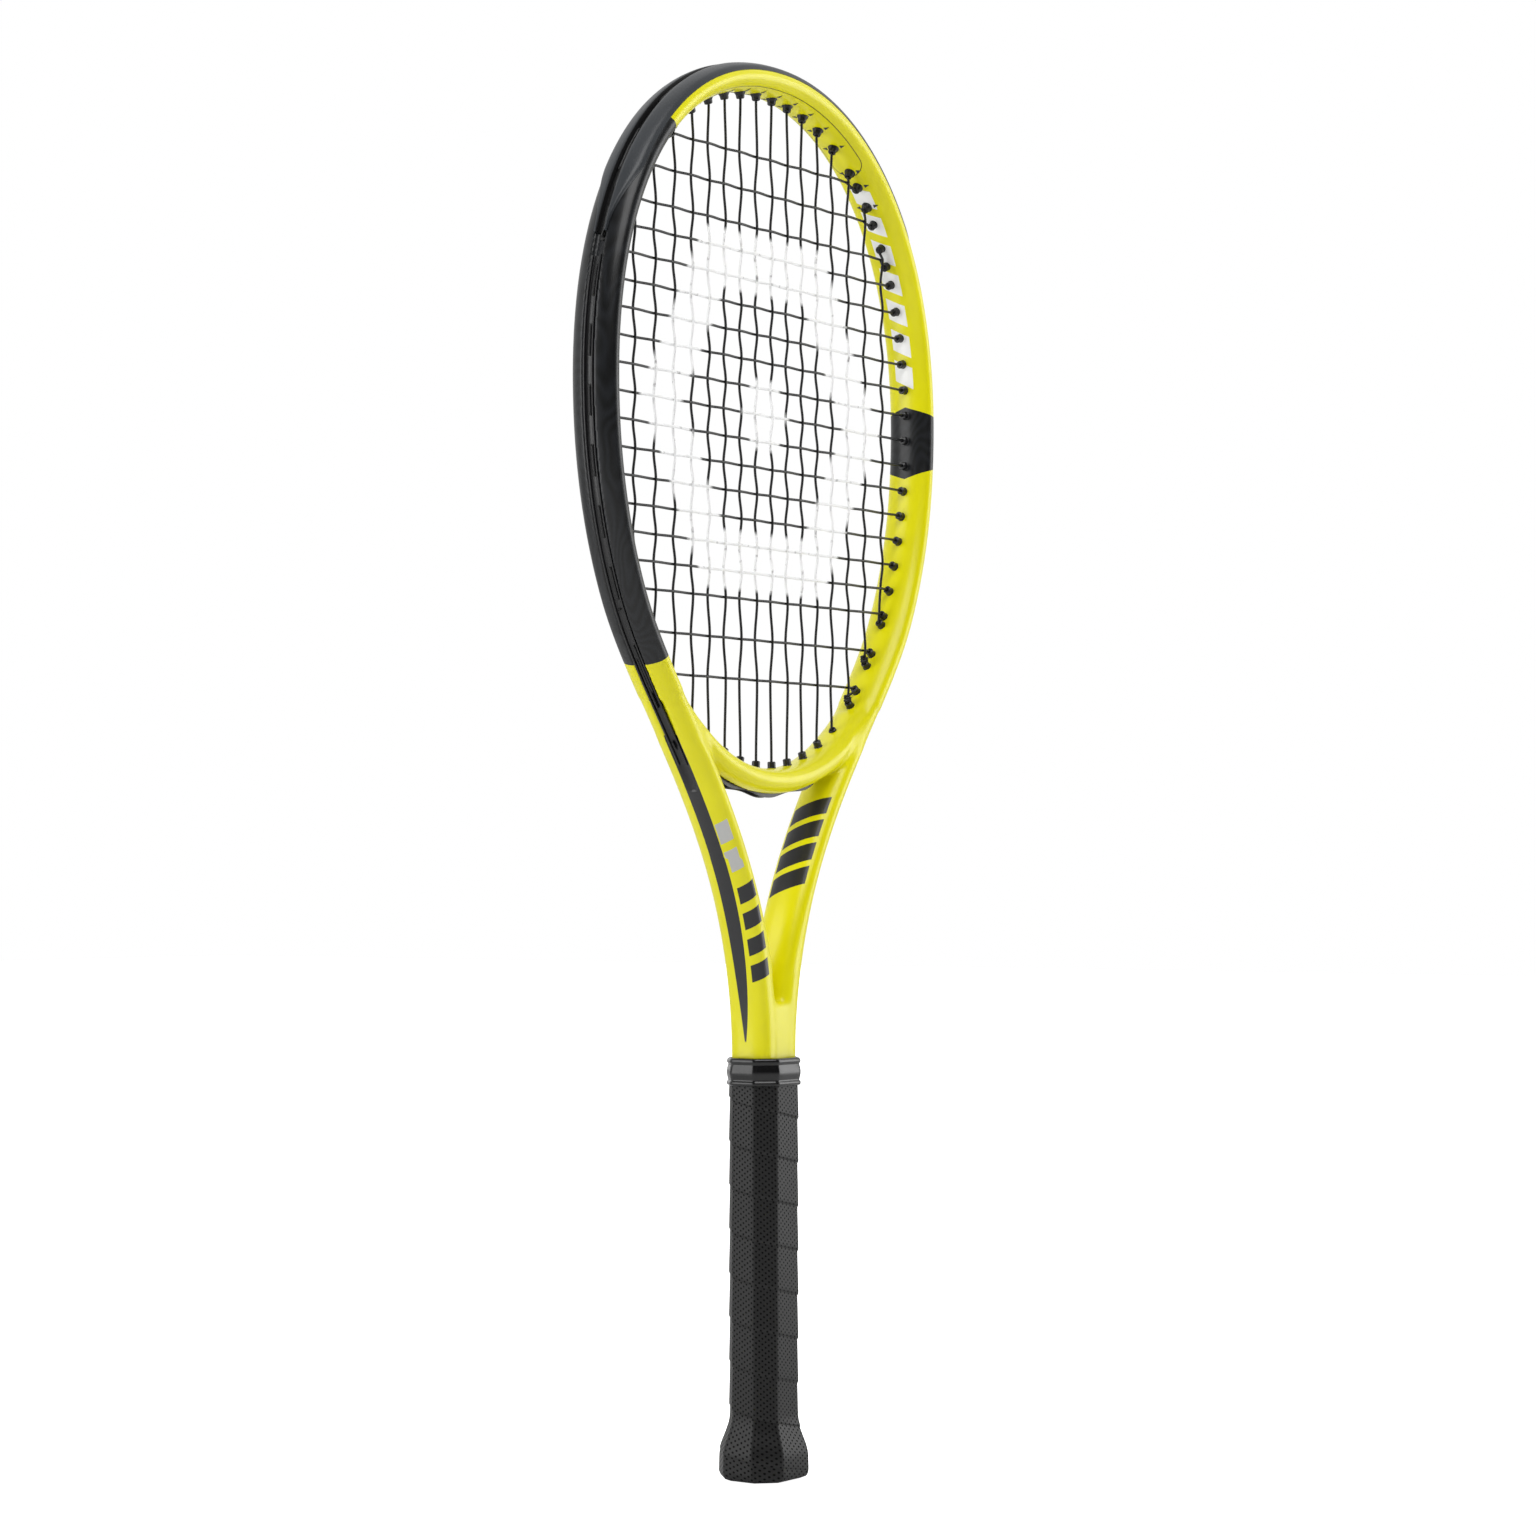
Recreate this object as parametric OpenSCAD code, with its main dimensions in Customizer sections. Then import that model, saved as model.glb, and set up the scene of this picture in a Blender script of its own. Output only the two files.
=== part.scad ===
// Tennis racket standing on its butt end. +Z runs up the handle to the head, X runs across the face,
// and the front of the string bed faces -Y. The origin is the middle of the butt end.

/* [Head] */
// Length from the butt end to the top of the bumper guard
racket_length = 685.8; // [680:0.2:690]
// From the middle of the face to the middle of the tube, at the widest point
hoop_half_width = 131.7; // [129:0.1:134]
// From the middle of the hoop to the middle of the tube, at the top
hoop_half_height = 169.8; // [168:0.1:171.5]
// Depth of the hoop's tube from front to back
hoop_depth = 24.8; // [24:0.2:26]
// Width of the hoop's tube across its wall
rim_width = 12.6; // [12.2:0.1:13]

/* [Strings] */
// Diameter of the string
string_d = 1.3; // [1.2:0.05:1.35]
// Distance between neighbouring strings in the middle of the bed
string_pitch = 12.9; // [12.7:0.1:13]

/* [Handle] */
// Length of the wrapped grip
grip_length = 191; // [186:1:192]
// Width of the grip across X
grip_width = 34; // [33.6:0.1:35]
// Depth of the grip across Y
grip_depth = 29; // [28.8:0.1:30]
// Distance the wrap climbs in one turn
wrap_pitch = 21.4; // [20:0.1:23]

/* [Hidden] */

// The hoop is a slightly squared oval, a little wider above its middle.
hoop_squareness = 0.957;
hoop_egg = 0.07;
bumper_t = 1.2;
hoop_z = racket_length - bumper_t - rim_width / 2 - hoop_half_height;

// The tube's wall, and the groove around its outer side that holds the grommet strips.
wall = 1.5;
groove_w = 5.8;
groove_depth = 2.4;
groove_taper = 0.9;
groove_end_z = 342;
hoop_roundness = 2.15;

// Each side leaves the hoop at this angle from the top and curves down to a shaft.
leave_angle = 120;
curve_turn = 95;
leave_pull = 59;
shaft_pull = 106;
shaft_x = 7.5;
shaft_z = 204;
shaft_half_w = 7.4;
shaft_depth = 22.7;
shaft_roundness = 3;
morph_z = [234, 301];

// Inside the handle each leg of the tube is thinner.
leg_x = 6.1;
leg_half_w = 5.3;
leg_depth = 18.6;
leg_top_z = 198;
leg_bottom_z = 16;

// Rings and points of the swept shapes.
hoop_rings = 30;
curve_rings = 14;
arc_points = 12;

// Strings: 16 mains run up the racket and 19 crosses run across it.
main_count = 16;
cross_count = 19;
string_sides = 6;
weave = string_d / 2 + 0.01;
centre_cross_z = 516.6;
middle_cross = 9;
main_straight = 3;
main_fan = 0.42;
top_fan = 4.4;
bottom_fan = 6.5;
first_even_cross = 2;
last_even_cross = 16;
side_by_side = 0.7;
least_crossing = 1.2;
// The holes of the outer strings are turned a little, so that no two of them meet.
outer_main_top_turn = 2.2;
outer_main_bottom_turn = 3.2;
upper_cross_turns = [2.2, 1.2, 1.9];

// Grommets: the barrels line the string holes, and the strips they stand on lie in the groove.
barrel_r = 2;
barrel_bore_r = 0.85;
barrel_out = 3.2;
strip_t = 0.8;
strip_wall = 0.85;
bumper_last_ring = 16;
bumper_steps = [9.6, 7.4, 5];
strip_first_ring = 17;
strip_end_z = 345;
side_holes_end = 156;
// The lowest hole of each limb comes out through the shoulder of the bridge, so its barrel is longer.
shoulder_start = 149;
shoulder_barrel_out = 6;
throat_strip_ends = 4;
clearance = 0.05;

// The bridge runs below the strings between these angles either side of the bottom of the head.
bridge_angle = 143;
bridge_depth = 23;
bridge_rings = 16;
bridge_hole_reach = 40;
frame_hole_start = 22;

// The web fills the gap between the shafts below their crotch.
web_bottom_z = 200;
crotch_z = 231;
crotch_r = 2.4;
web_overlap = 3.5;
web_steps = 6;
web_step = 0.016;

// Knots where the two ends of the string are tied around the neighbouring mains.
knot_mains = [13, 14];
knot_r = 1.4;
knot_turns = 2;
knot_rise = 1.15;
knot_lift = 2.4;
knot_base = 0.7;
tail_length = 6;
tail_tilt = 70;

// Handle, built up from the legs outwards: foam, backing tape and wrap.
corners = 8;
face_y_half = 9;
face_x_half = 6.75;
octagon_corner = tan(22.5);
wrap_t = 1.7;
wrap_step = 0.35;
seam_gap = 0.3;
wrap_levels = [0, 0.25, 0.5, 0.75, 1];
backing_t = 0.25;
neck_z = 189;
neck_w = 13.2;
neck_d = 10.8;
neck_chamfer = 4.6;
pallet_top_z = 198;
wrap_tail_t = 0.5;
wrap_tail_top = 197;
tape_t = 0.25;
tape_bottom_z = 191.5;
plug_h = 6;

// Butt cap and its door
butt_grow = 4.7;
butt_edge_r = 4;
wrap_bottom_z = 1.2;
first_turn_z = 9;
flare_z = [11, 31];
flare_step = 4;
cap_t = 1.6;
cap_gap = 0.5;
cap_floor = 4;
cap_top_z = 34;
door_w = 20;
door_d = 15;
door_t = 2.2;
door_lip = 2;
door_gap = 0.3;
door_corner = 3;
boss_h = 3;
staple_wire = 0.6;
staple_crown = 9;
staple_leg = 3.4;
staple_z = 26;
tack_z = 14;

// Collar
collar_bore_w = 15.7;
collar_bore_d = 12.1;
collar_bore_chamfer = 4;

// ---- Small helpers ----

function unit(v) = v / norm(v);
function signed_pow(v, n) = sign(v) * pow(abs(v), n);
function clamp(v, low, high) = min(max(v, low), high);
function smooth(v) = v * v * (3 - 2 * v);
function reversed(list) = [for (i = [len(list) - 1 : -1 : 0]) list[i]];
function outward(dir) = [-dir.y, dir.x];

// Two triangles for the cell between point k and the next on rings i and j, with n points a ring.
function cell(i, j, k, n) =
    let (a = i * n + k, b = i * n + (k + 1) % n, c = j * n + (k + 1) % n, d = j * n + k)
    [[a, b, c], [a, c, d]];

function side_faces(rings, n, closed) = [
    for (i = [0 : closed ? rings - 1 : rings - 2], k = [0 : n - 1])
        each cell(i, (i + 1) % rings, k, n)
];

// A band joins each point of the first half of a ring with its partner in the second half.
function band_cap(first, n, flip) = [
    for (k = [0 : n / 2 - 2])
        let (a = first + k, b = first + k + 1, c = first + n - 2 - k, d = first + n - 1 - k)
        each (flip ? [[a, c, b], [a, d, c]] : [[a, b, c], [a, c, d]])
];

function turned(faces, flip) = flip ? [for (f = faces) reversed(f)] : faces;

// A solid whose rings close on themselves: an open tube with a wall, or a ring.
module closed_sweep(rings, flip = false) {
    polyhedron([for (r = rings) each r], turned(side_faces(len(rings), len(rings[0]), true), flip));
}

// A solid bar with a flat cap on the first and last ring, which have no hollows.
module capped_sweep(rings, flip = false) {
    n = len(rings[0]);
    last = (len(rings) - 1) * n;
    faces = concat(
        side_faces(len(rings), n, false),
        [for (k = [1 : n - 2]) [k + 1, k, 0]],
        [for (k = [1 : n - 2]) [last, last + k, last + k + 1]]
    );
    polyhedron([for (r = rings) each r], turned(faces, flip));
}

// A solid with flat ends, where each ring's second half runs back along its first half.
module banded_sweep(rings) {
    n = len(rings[0]);
    last = (len(rings) - 1) * n;
    polyhedron(
        [for (r = rings) each r],
        concat(side_faces(len(rings), n, false), band_cap(0, n, true), band_cap(last, n, false))
    );
}

// ---- The centre line of the tube ----

function hoop_point(t) = [
    hoop_half_width * signed_pow(sin(t), hoop_squareness) * (1 + hoop_egg * cos(t)),
    hoop_z + hoop_half_height * signed_pow(cos(t), hoop_squareness)
];
function hoop_dir(t) = unit(hoop_point(t + 0.5) - hoop_point(t - 0.5));

curve_start = hoop_point(leave_angle);
curve_a = curve_start + leave_pull * hoop_dir(leave_angle);
curve_b = [shaft_x, shaft_z + shaft_pull];
curve_end = [shaft_x, shaft_z];
function curve_point(s) =
    pow(1 - s, 3) * curve_start + 3 * pow(1 - s, 2) * s * curve_a
    + 3 * (1 - s) * s * s * curve_b + pow(s, 3) * curve_end;
function curve_dir(s) = unit(
    pow(1 - s, 2) * (curve_a - curve_start) + 2 * (1 - s) * s * (curve_b - curve_a)
    + s * s * (curve_end - curve_b)
);

// ---- The section of the tube: [half depth, half width, roundness, groove depth] ----

function shaft_share(z) = 1 - smooth(clamp((z - morph_z[0]) / (morph_z[1] - morph_z[0]), 0, 1));
function mix(a, b, w) = a + (b - a) * w;
function tube_size(z) = let (w = shaft_share(z)) [
    mix(hoop_depth, shaft_depth, w) / 2,
    mix(rim_width / 2, shaft_half_w, w),
    mix(hoop_roundness, shaft_roundness, w),
    groove_depth * clamp((z - groove_end_z) / 8 + 1, 0, 1)
];

function edge_angle(size, y) = asin(pow(y / size[0], size[2] / 2));
function oval(size, a) = [
    size[1] * signed_pow(cos(a), 2 / size[2]),
    size[0] * signed_pow(sin(a), 2 / size[2])
];

// Points [outward, y] around the tube, from one edge of the groove around to the other, then its floor.
function tube_section(size, inset) =
    let (
        own = [size[0] - inset, size[1] - inset, size[2], size[3]],
        half = groove_w / 2 + inset,
        start = edge_angle(own, half),
        edge = oval(own, start),
        floor_u = min(edge.x, size[1] - size[3] - inset)
    )
    concat(
        [for (k = [0 : arc_points - 1]) oval(own, start + k * (360 - 2 * start) / (arc_points - 1))],
        [[floor_u, -half * groove_taper], [floor_u, half * groove_taper]]
    );

// A station is [point, direction, size]. A ring sets its section across the path.
function station_ring(s, section) =
    let (n = outward(s[1]))
    [for (p = section) [s[0].x + n.x * p.x, p.y, s[0].y + n.y * p.x]];

function mirrored(s) = [[-s[0].x, s[0].y], [s[1].x, -s[1].y], s[2]];

leg_size = [leg_depth / 2, leg_half_w, shaft_roundness, 0];
hoop_step = leave_angle / hoop_rings;
function hoop_station(t) =
    let (p = hoop_point(t))
    [p, t == 0 ? [1, 0] : hoop_dir(t), tube_size(p.y)];
hoop_stations = [for (i = [0 : hoop_rings]) hoop_station(i * hoop_step)];
curve_stations = [
    for (i = [1 : curve_rings])
        let (s = i / curve_rings, p = curve_point(s))
        [p, curve_dir(s), tube_size(p.y)]
];
leg_stations = [
    [[leg_x, leg_top_z], [0, -1], leg_size],
    [[leg_x, leg_bottom_z], [0, -1], leg_size]
];
right_stations = concat(hoop_stations, curve_stations, leg_stations);
left_stations = [for (i = [len(right_stations) - 1 : -1 : 1]) mirrored(right_stations[i])];
frame_stations = concat(left_stations, right_stations);

// ---- Where each string meets the hoop ----

// Angles between the hoop and the bridge stand for places on the curve that leaves the hoop.
function on_curve(t) = t > leave_angle && t < side_holes_end;
function curve_share(t) = (t - leave_angle) / curve_turn;
function flip_x(p) = [-p.x, p.y];
function rim_point(t) = t > 180 ? flip_x(rim_point(360 - t)) :
    on_curve(t) ? curve_point(curve_share(t)) : hoop_point(t);
function rim_out(t) = t > 180 ? flip_x(rim_out(360 - t)) :
    outward(on_curve(t) ? curve_dir(curve_share(t)) : hoop_dir(t));
function barrel_reach(t) = t > 180 ? barrel_reach(360 - t) :
    on_curve(t) && t > shoulder_start ? shoulder_barrel_out : barrel_out;
function tip_point(t) = rim_point(t) - (rim_width / 2 + barrel_reach(t)) * rim_out(t);
function groove_point(t, lift) = rim_point(t) + (rim_width / 2 - groove_depth + lift) * rim_out(t);

// Halves the range until the barrel's tip has the wanted x (axis 0) or z (axis 1).
function hole_angle(axis, want, low, high, steps = 24) =
    steps == 0 ? (low + high) / 2 :
    let (
        mid = (low + high) / 2,
        rising = tip_point(high)[axis] > tip_point(low)[axis],
        above = tip_point(mid)[axis] > want
    )
    rising == above ? hole_angle(axis, want, low, mid, steps - 1)
                    : hole_angle(axis, want, mid, high, steps - 1);

function main_half(i) = string_pitch * (i + 0.5) + main_fan * pow(max(0, i - main_straight), 2);
function main_x(i) = i < main_count / 2 ? -main_half(main_count / 2 - 1 - i)
                                        : main_half(i - main_count / 2);
function cross_z(j) = centre_cross_z + string_pitch * (middle_cross - j)
    + top_fan * max(0, first_even_cross - j) - bottom_fan * max(0, j - last_even_cross);

// -1 for the first main, 1 for the last, and 0 for those between.
function outer_main(i) = i == 0 ? -1 : i == main_count - 1 ? 1 : 0;
function cross_turn(j) = j < len(upper_cross_turns) ? upper_cross_turns[j] : 0;
main_top = [
    for (i = [0 : main_count - 1])
        hole_angle(0, main_x(i), -80, 80) - outer_main(i) * outer_main_top_turn
];
main_bottom = [
    for (i = [0 : main_count - 1])
        hole_angle(0, main_x(i), 100, 260) + outer_main(i) * outer_main_bottom_turn
];
cross_right = [for (j = [0 : cross_count - 1]) hole_angle(1, cross_z(j), 5, 175) + cross_turn(j)];
cross_left = [for (t = cross_right) 360 - t];

holes = concat(main_top, main_bottom, cross_right, cross_left);

// How far around the head a hole is from the top, on either side.
function from_top(t) = abs(t > 180 ? t - 360 : t);
function from_bottom(t) = abs(t - 180);

// Stands a shape that points along +Z on the middle of the tube at an angle, pointing outward.
module at_hole(t) {
    p = rim_point(t);
    n = rim_out(t);
    translate([p.x, 0, p.y]) rotate([0, atan2(n.x, n.y), 0]) children();
}

// ---- Frame ----

module string_holes(angles) {
    for (t = angles)
        at_hole(t) cylinder(r = barrel_r + clearance, h = 3 * rim_width, center = true, $fn = 24);
}

module frame() {
    outer = [for (s = frame_stations) station_ring(s, tube_section(s[2], 0))];
    inner = [for (s = frame_stations) station_ring(s, tube_section(s[2], wall))];
    color("gold") difference() {
        closed_sweep(concat(outer, reversed(inner)));
        string_holes([for (t = holes) if (from_bottom(t) > frame_hole_start) t]);
    }
}

// The bridge closes the head between the two shafts, and its ends sit inside them.
bridge_size = [bridge_depth / 2, rim_width / 2, hoop_roundness, groove_depth];
bridge_stations = [
    for (i = [0 : bridge_rings])
        let (t = bridge_angle + i * (360 - 2 * bridge_angle) / bridge_rings)
        [hoop_point(t), hoop_dir(t), bridge_size]
];

module throat_bridge() {
    outer = [for (s = bridge_stations) station_ring(s, tube_section(s[2], 0))];
    inner = [for (s = bridge_stations) station_ring(s, tube_section(s[2], wall))];
    color("gold") difference() {
        closed_sweep(concat(outer, reversed(inner)));
        string_holes([for (t = holes) if (from_bottom(t) < bridge_hole_reach) t]);
    }
}

// Joins the two shafts below their crotch, flush with their faces.
module shaft_web() {
    side = [
        for (k = [0 : web_steps])
            curve_point(1 - k * web_step) + [web_overlap - shaft_half_w, 0]
    ];
    edge = concat([[side[0].x, web_bottom_z]], side);
    color("gold") rotate([90, 0, 0]) linear_extrude(shaft_depth - 2 * clearance, center = true)
        difference() {
            polygon(concat(edge, [for (p = reversed(edge)) [-p.x, p.y]]));
            translate([0, crotch_z + crotch_r]) circle(crotch_r, $fn = 32);
        }
}

// Foam plugs that close the lower ends of the tube.
module leg_end_plugs() {
    color("dimgray") for (side = [0, 1]) mirror([side, 0, 0]) translate([leg_x, 0, leg_bottom_z])
        linear_extrude(plug_h) polygon(tube_section(leg_size, wall + clearance));
}

// ---- Bumper guard and grommet strips ----

function surface_u(size, y) = size[1] * pow(1 - pow(abs(y) / size[0], size[2]), 1 / size[2]);
function groove_floor(size) = size[1] - size[3] + clearance;

// A channel that lies in the groove. Its first half touches the frame and its second half is outside.
function channel_section(size) =
    let (
        half = groove_w / 2 - clearance,
        low = half * groove_taper,
        base = groove_floor(size),
        top = surface_u(size, half),
        under = [[top, half], [base, low], [base, -low], [top, -half]],
        over = [[top, half - strip_wall], [base + strip_t, low - strip_wall],
                [base + strip_t, strip_wall - low], [top, strip_wall - half]]
    )
    concat(under, reversed(over));

// The bumper guard has the same channel, and wings that wrap the outer side of the tube.
function bumper_section(size) =
    let (
        half = groove_w / 2 - clearance,
        low = half * groove_taper,
        base = groove_floor(size),
        under = concat(
            [for (y = bumper_steps) [surface_u(size, y) + clearance, y]],
            [[surface_u(size, half) + clearance, half], [base, low]]
        ),
        over = concat(
            [for (y = bumper_steps) [surface_u(size, y) + bumper_t, y]],
            [[size[1] + bumper_t, half - strip_wall], [base + strip_t, low - strip_wall]]
        )
    )
    concat(
        under, [for (p = reversed(under)) [p.x, -p.y]],
        over_back(over)
    );
function over_back(over) = concat([for (p = over) [p.x, -p.y]], reversed(over));

module barrels(angles) {
    outer_end = rim_width / 2 - groove_depth + clearance + strip_t / 2;
    for (t = angles) {
        inner_end = -rim_width / 2 - barrel_reach(t);
        at_hole(t) translate([0, 0, inner_end])
            cylinder(r = barrel_r, h = outer_end - inner_end, $fn = 24);
    }
}

module barrel_bores(angles) {
    for (t = angles) at_hole(t) cylinder(r = barrel_bore_r, h = 4 * rim_width, center = true, $fn = 20);
}

module bumper_guard() {
    angles = [for (t = holes) if (from_top(t) < bumper_angle) t];
    stations = [for (i = [-bumper_last_ring : bumper_last_ring]) hoop_station(i * hoop_step)];
    color("slategray") difference() {
        union() {
            banded_sweep([for (s = stations) station_ring(s, bumper_section(s[2]))]);
            barrels(angles);
        }
        barrel_bores(angles);
    }
}

bumper_angle = (bumper_last_ring + strip_first_ring) / 2 * hoop_step;
strip_stations = concat(
    [for (i = [strip_first_ring : hoop_rings]) hoop_stations[i]],
    [for (s = curve_stations) if (s[0].y > strip_end_z) s]
);

module side_grommet_strip(side) {
    angles = [for (t = holes) if (t > bumper_angle && t < side_holes_end) t];
    color("black") mirror([side < 0 ? 1 : 0, 0, 0]) difference() {
        union() {
            banded_sweep([for (s = strip_stations) station_ring(s, channel_section(s[2]))]);
            barrels(angles);
        }
        barrel_bores(angles);
    }
}

module side_grommet_strip_left() {
    side_grommet_strip(-1);
}

module side_grommet_strip_right() {
    side_grommet_strip(1);
}

module throat_grommet_strip() {
    angles = [for (t = holes) if (from_bottom(t) < 180 - side_holes_end) t];
    stations = [for (i = [throat_strip_ends : bridge_rings - throat_strip_ends]) bridge_stations[i]];
    color("black") difference() {
        union() {
            banded_sweep([for (s = stations) station_ring(s, channel_section(s[2]))]);
            barrels(angles);
        }
        barrel_bores(angles);
    }
}

// ---- Strings ----

string_lift = clearance + strip_t + string_d / 2 + clearance;
function flat(p, y = 0) = [p.x, y, p.y];
function in_groove(t, y) = flat(groove_point(t, string_lift), y);
function main_side(i, j) = (i + j) % 2 == 0 ? 1 : -1;

// Do this main and this cross meet inside the hoop?
function meets(i, j) =
    tip_point(cross_right[j]).x > abs(main_x(i)) + least_crossing
    && tip_point(main_top[i]).y > cross_z(j) + least_crossing
    && tip_point(main_bottom[i]).y < cross_z(j) - least_crossing;

// One main from its lower hole to its upper hole, over and under each cross that it meets.
function main_run(i) = concat(
    [in_groove(main_bottom[i], side_by_side), flat(tip_point(main_bottom[i]))],
    [
        for (j = [cross_count - 1 : -1 : 0])
            if (meets(i, j)) [main_x(i), weave * main_side(i, j), cross_z(j)]
    ],
    [flat(tip_point(main_top[i])), in_groove(main_top[i], side_by_side)]
);

// One cross from its left hole to its right hole, on the other side of each main.
function cross_run(j) = concat(
    [in_groove(cross_left[j], -side_by_side), flat(tip_point(cross_left[j]))],
    [
        for (i = [0 : main_count - 1])
            if (meets(i, j)) [main_x(i), -weave * main_side(i, j), cross_z(j)]
    ],
    [flat(tip_point(cross_right[j])), in_groove(cross_right[j], -side_by_side)]
);

// The middle of the loop in the groove between two neighbouring holes.
function loop_middle(angles, i, y) =
    i + 1 < len(angles) ? [in_groove((angles[i] + angles[i + 1]) / 2, y)] : [];

// The ring of the string at one point of its path, set halfway between the two directions there.
function string_ring(path, k) =
    let (
        before = unit(path[k] - path[max(k - 1, 0)] + (k == 0 ? path[1] - path[0] : [0, 0, 0])),
        after = k == len(path) - 1 ? before : unit(path[k + 1] - path[k]),
        along = unit(before + after),
        deep = unit([0, 1, 0] - along.y * along),
        across = cross(along, deep) / (along * before)
    )
    [
        for (a = [0 : string_sides - 1])
            let (turn = (a + 0.5) * 360 / string_sides)
            path[k] + string_d / 2 * (cos(turn) * deep + sin(turn) * across)
    ];

module string_sweep(path) {
    capped_sweep([for (k = [0 : len(path) - 1]) string_ring(path, k)], flip = true);
}

// The string runs up one main, along the groove and down the next.
module main_strings() {
    path = [
        for (i = [0 : main_count - 1])
            each (i % 2 == 0 ? concat(main_run(i), loop_middle(main_top, i, side_by_side))
                : concat(reversed(main_run(i)), loop_middle(main_bottom, i, side_by_side)))
    ];
    color("dimgray") string_sweep(path);
}

// It crosses the mains to the right, and comes back to the left on the next row.
module cross_strings() {
    path = [
        for (j = [0 : cross_count - 1])
            each (j % 2 == 0 ? concat(cross_run(j), loop_middle(cross_right, j, -side_by_side))
                : concat(reversed(cross_run(j)), loop_middle(cross_left, j, -side_by_side)))
    ];
    color("dimgray") string_sweep(path);
}

module knot() {
    for (i = [0 : knot_turns - 1]) translate([0, 0, knot_base + knot_rise * i])
        rotate_extrude($fn = 32) translate([knot_r, 0]) circle(string_d / 2, $fn = 16);
    translate([knot_r, 0, string_d]) rotate([0, tail_tilt, 0])
        cylinder(r = string_d / 2, h = tail_length, $fn = 16);
}

module tie_off_knots() {
    color("dimgray") for (i = knot_mains)
        translate(flat(tip_point(main_bottom[i]) + [0, knot_lift])) knot();
}

// ---- Handle ----

// The eight corners of the grip, moved out by grow.
function octagon(grow) =
    let (
        w = grip_width / 2 + grow,
        d = grip_depth / 2 + grow,
        x = face_y_half + grow * octagon_corner,
        y = face_x_half + grow * octagon_corner
    )
    [[w, -y], [w, y], [x, d], [-x, d], [-w, y], [-w, -y], [-x, -d], [x, -d]];

// A box outline with cut corners, given as half sizes, in the same order of corners.
function cut_box(w, d, cut) = [
    [w, cut - d], [w, d - cut], [w - cut, d], [cut - w, d],
    [-w, d - cut], [-w, cut - d], [cut - w, -d], [w - cut, -d]
];
function neck(grow) = cut_box(neck_w + grow, neck_d + grow, neck_chamfer);

function at_z(outline, z) = [for (p = outline) [p.x, p.y, z]];

module tube_between(outer, inner, low, high) {
    translate([0, 0, low]) linear_extrude(high - low) difference() {
        polygon(outer);
        polygon(inner);
    }
}

// How far the butt end stands out from the grip: it swells downwards, and its lowest edge is rounded.
function edge_drop(z) = butt_edge_r - sqrt(pow(butt_edge_r, 2) - pow(max(0, butt_edge_r - z), 2));
function flare(z) =
    butt_grow * (1 - smooth(clamp((z - flare_z[0]) / (flare_z[1] - flare_z[0]), 0, 1))) - edge_drop(z);

module leg_spaces() {
    for (side = [0, 1]) mirror([side, 0, 0]) translate([leg_x, 0, cap_floor])
        linear_extrude(pallet_top_z) polygon(tube_section(leg_size, -clearance));
}

// Foam moulded around the legs, thinner inside the butt cap and at the neck.
module handle_pallet() {
    color("burlywood") difference() {
        union() {
            translate([0, 0, cap_floor + clearance]) linear_extrude(cap_top_z - cap_floor)
                polygon(octagon(-wrap_t - cap_gap - cap_t - clearance));
            translate([0, 0, cap_top_z + clearance]) linear_extrude(neck_z - cap_top_z - clearance)
                polygon(octagon(-wrap_t - backing_t - clearance));
            translate([0, 0, neck_z - 1]) linear_extrude(pallet_top_z - neck_z + 1) polygon(neck(0));
        }
        leg_spaces();
        linear_extrude(leg_bottom_z) square([door_w - 2 * door_lip, door_d - 2 * door_lip], center = true);
    }
}

module grip_backing_tape() {
    color("white") tube_between(
        octagon(-wrap_t - clearance), octagon(-wrap_t - backing_t), cap_top_z, neck_z - clearance
    );
}

// The wrap's strip climbs one pitch a turn, with a ring at each corner of the grip. Its lower edge
// stands proud of the turn below, and its first turn is cut level at the bottom. The corners run
// anticlockwise as seen from above, so the strip is mirrored to climb clockwise.
function wrap_corner(k, grow, z) = let (p = octagon(grow + flare(z))[(k + corners) % corners]) [p.x, p.y, z];
function wrap_ring(k) =
    let (
        start = first_turn_z + (k / corners - 1) * wrap_pitch,
        low = max(start, wrap_bottom_z),
        high = min(start + wrap_pitch - seam_gap, grip_length)
    )
    concat(
        [for (w = wrap_levels) wrap_corner(k, -wrap_t, mix(high, low, w))],
        [for (w = reversed(wrap_levels)) wrap_corner(k, -wrap_step * (1 - w), mix(high, low, w))]
    );

module grip_wrap() {
    first = ceil(corners * (wrap_bottom_z - first_turn_z) / wrap_pitch);
    last = floor(corners * (1 + (grip_length - first_turn_z) / wrap_pitch)) - 1;
    color("darkslategray") {
        mirror([1, 0, 0]) banded_sweep([for (k = [first : last]) wrap_ring(k)]);
        tube_between(neck(wrap_tail_t), neck(0), neck_z, wrap_tail_top);
    }
}

module grip_finishing_tape() {
    color("black") tube_between(neck(wrap_tail_t + tape_t), neck(wrap_tail_t), tape_bottom_z, wrap_tail_top);
}

// [height, outward from the grip] up the outer side of the collar: a bead, a swelling band and a bead.
collar_profile = [
    [0, 0.4], [0.5, 1], [1.9, 1], [2.5, 0.5], [4, 0.8], [6.7, 1.1],
    [9.3, 0.8], [10.6, 0.4], [11.2, 0.9], [12.6, 0.8], [13.4, 0.2],
];

module grip_collar() {
    bore = cut_box(collar_bore_w, collar_bore_d, collar_bore_chamfer);
    top = grip_length + collar_profile[len(collar_profile) - 1][0];
    outer = [for (p = collar_profile) at_z(octagon(p[1]), grip_length + clearance + p[0])];
    inner = [for (z = [top, grip_length]) at_z(bore, z + clearance)];
    color("black") closed_sweep(concat(outer, inner), flip = true);
}

// ---- Butt ----

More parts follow.
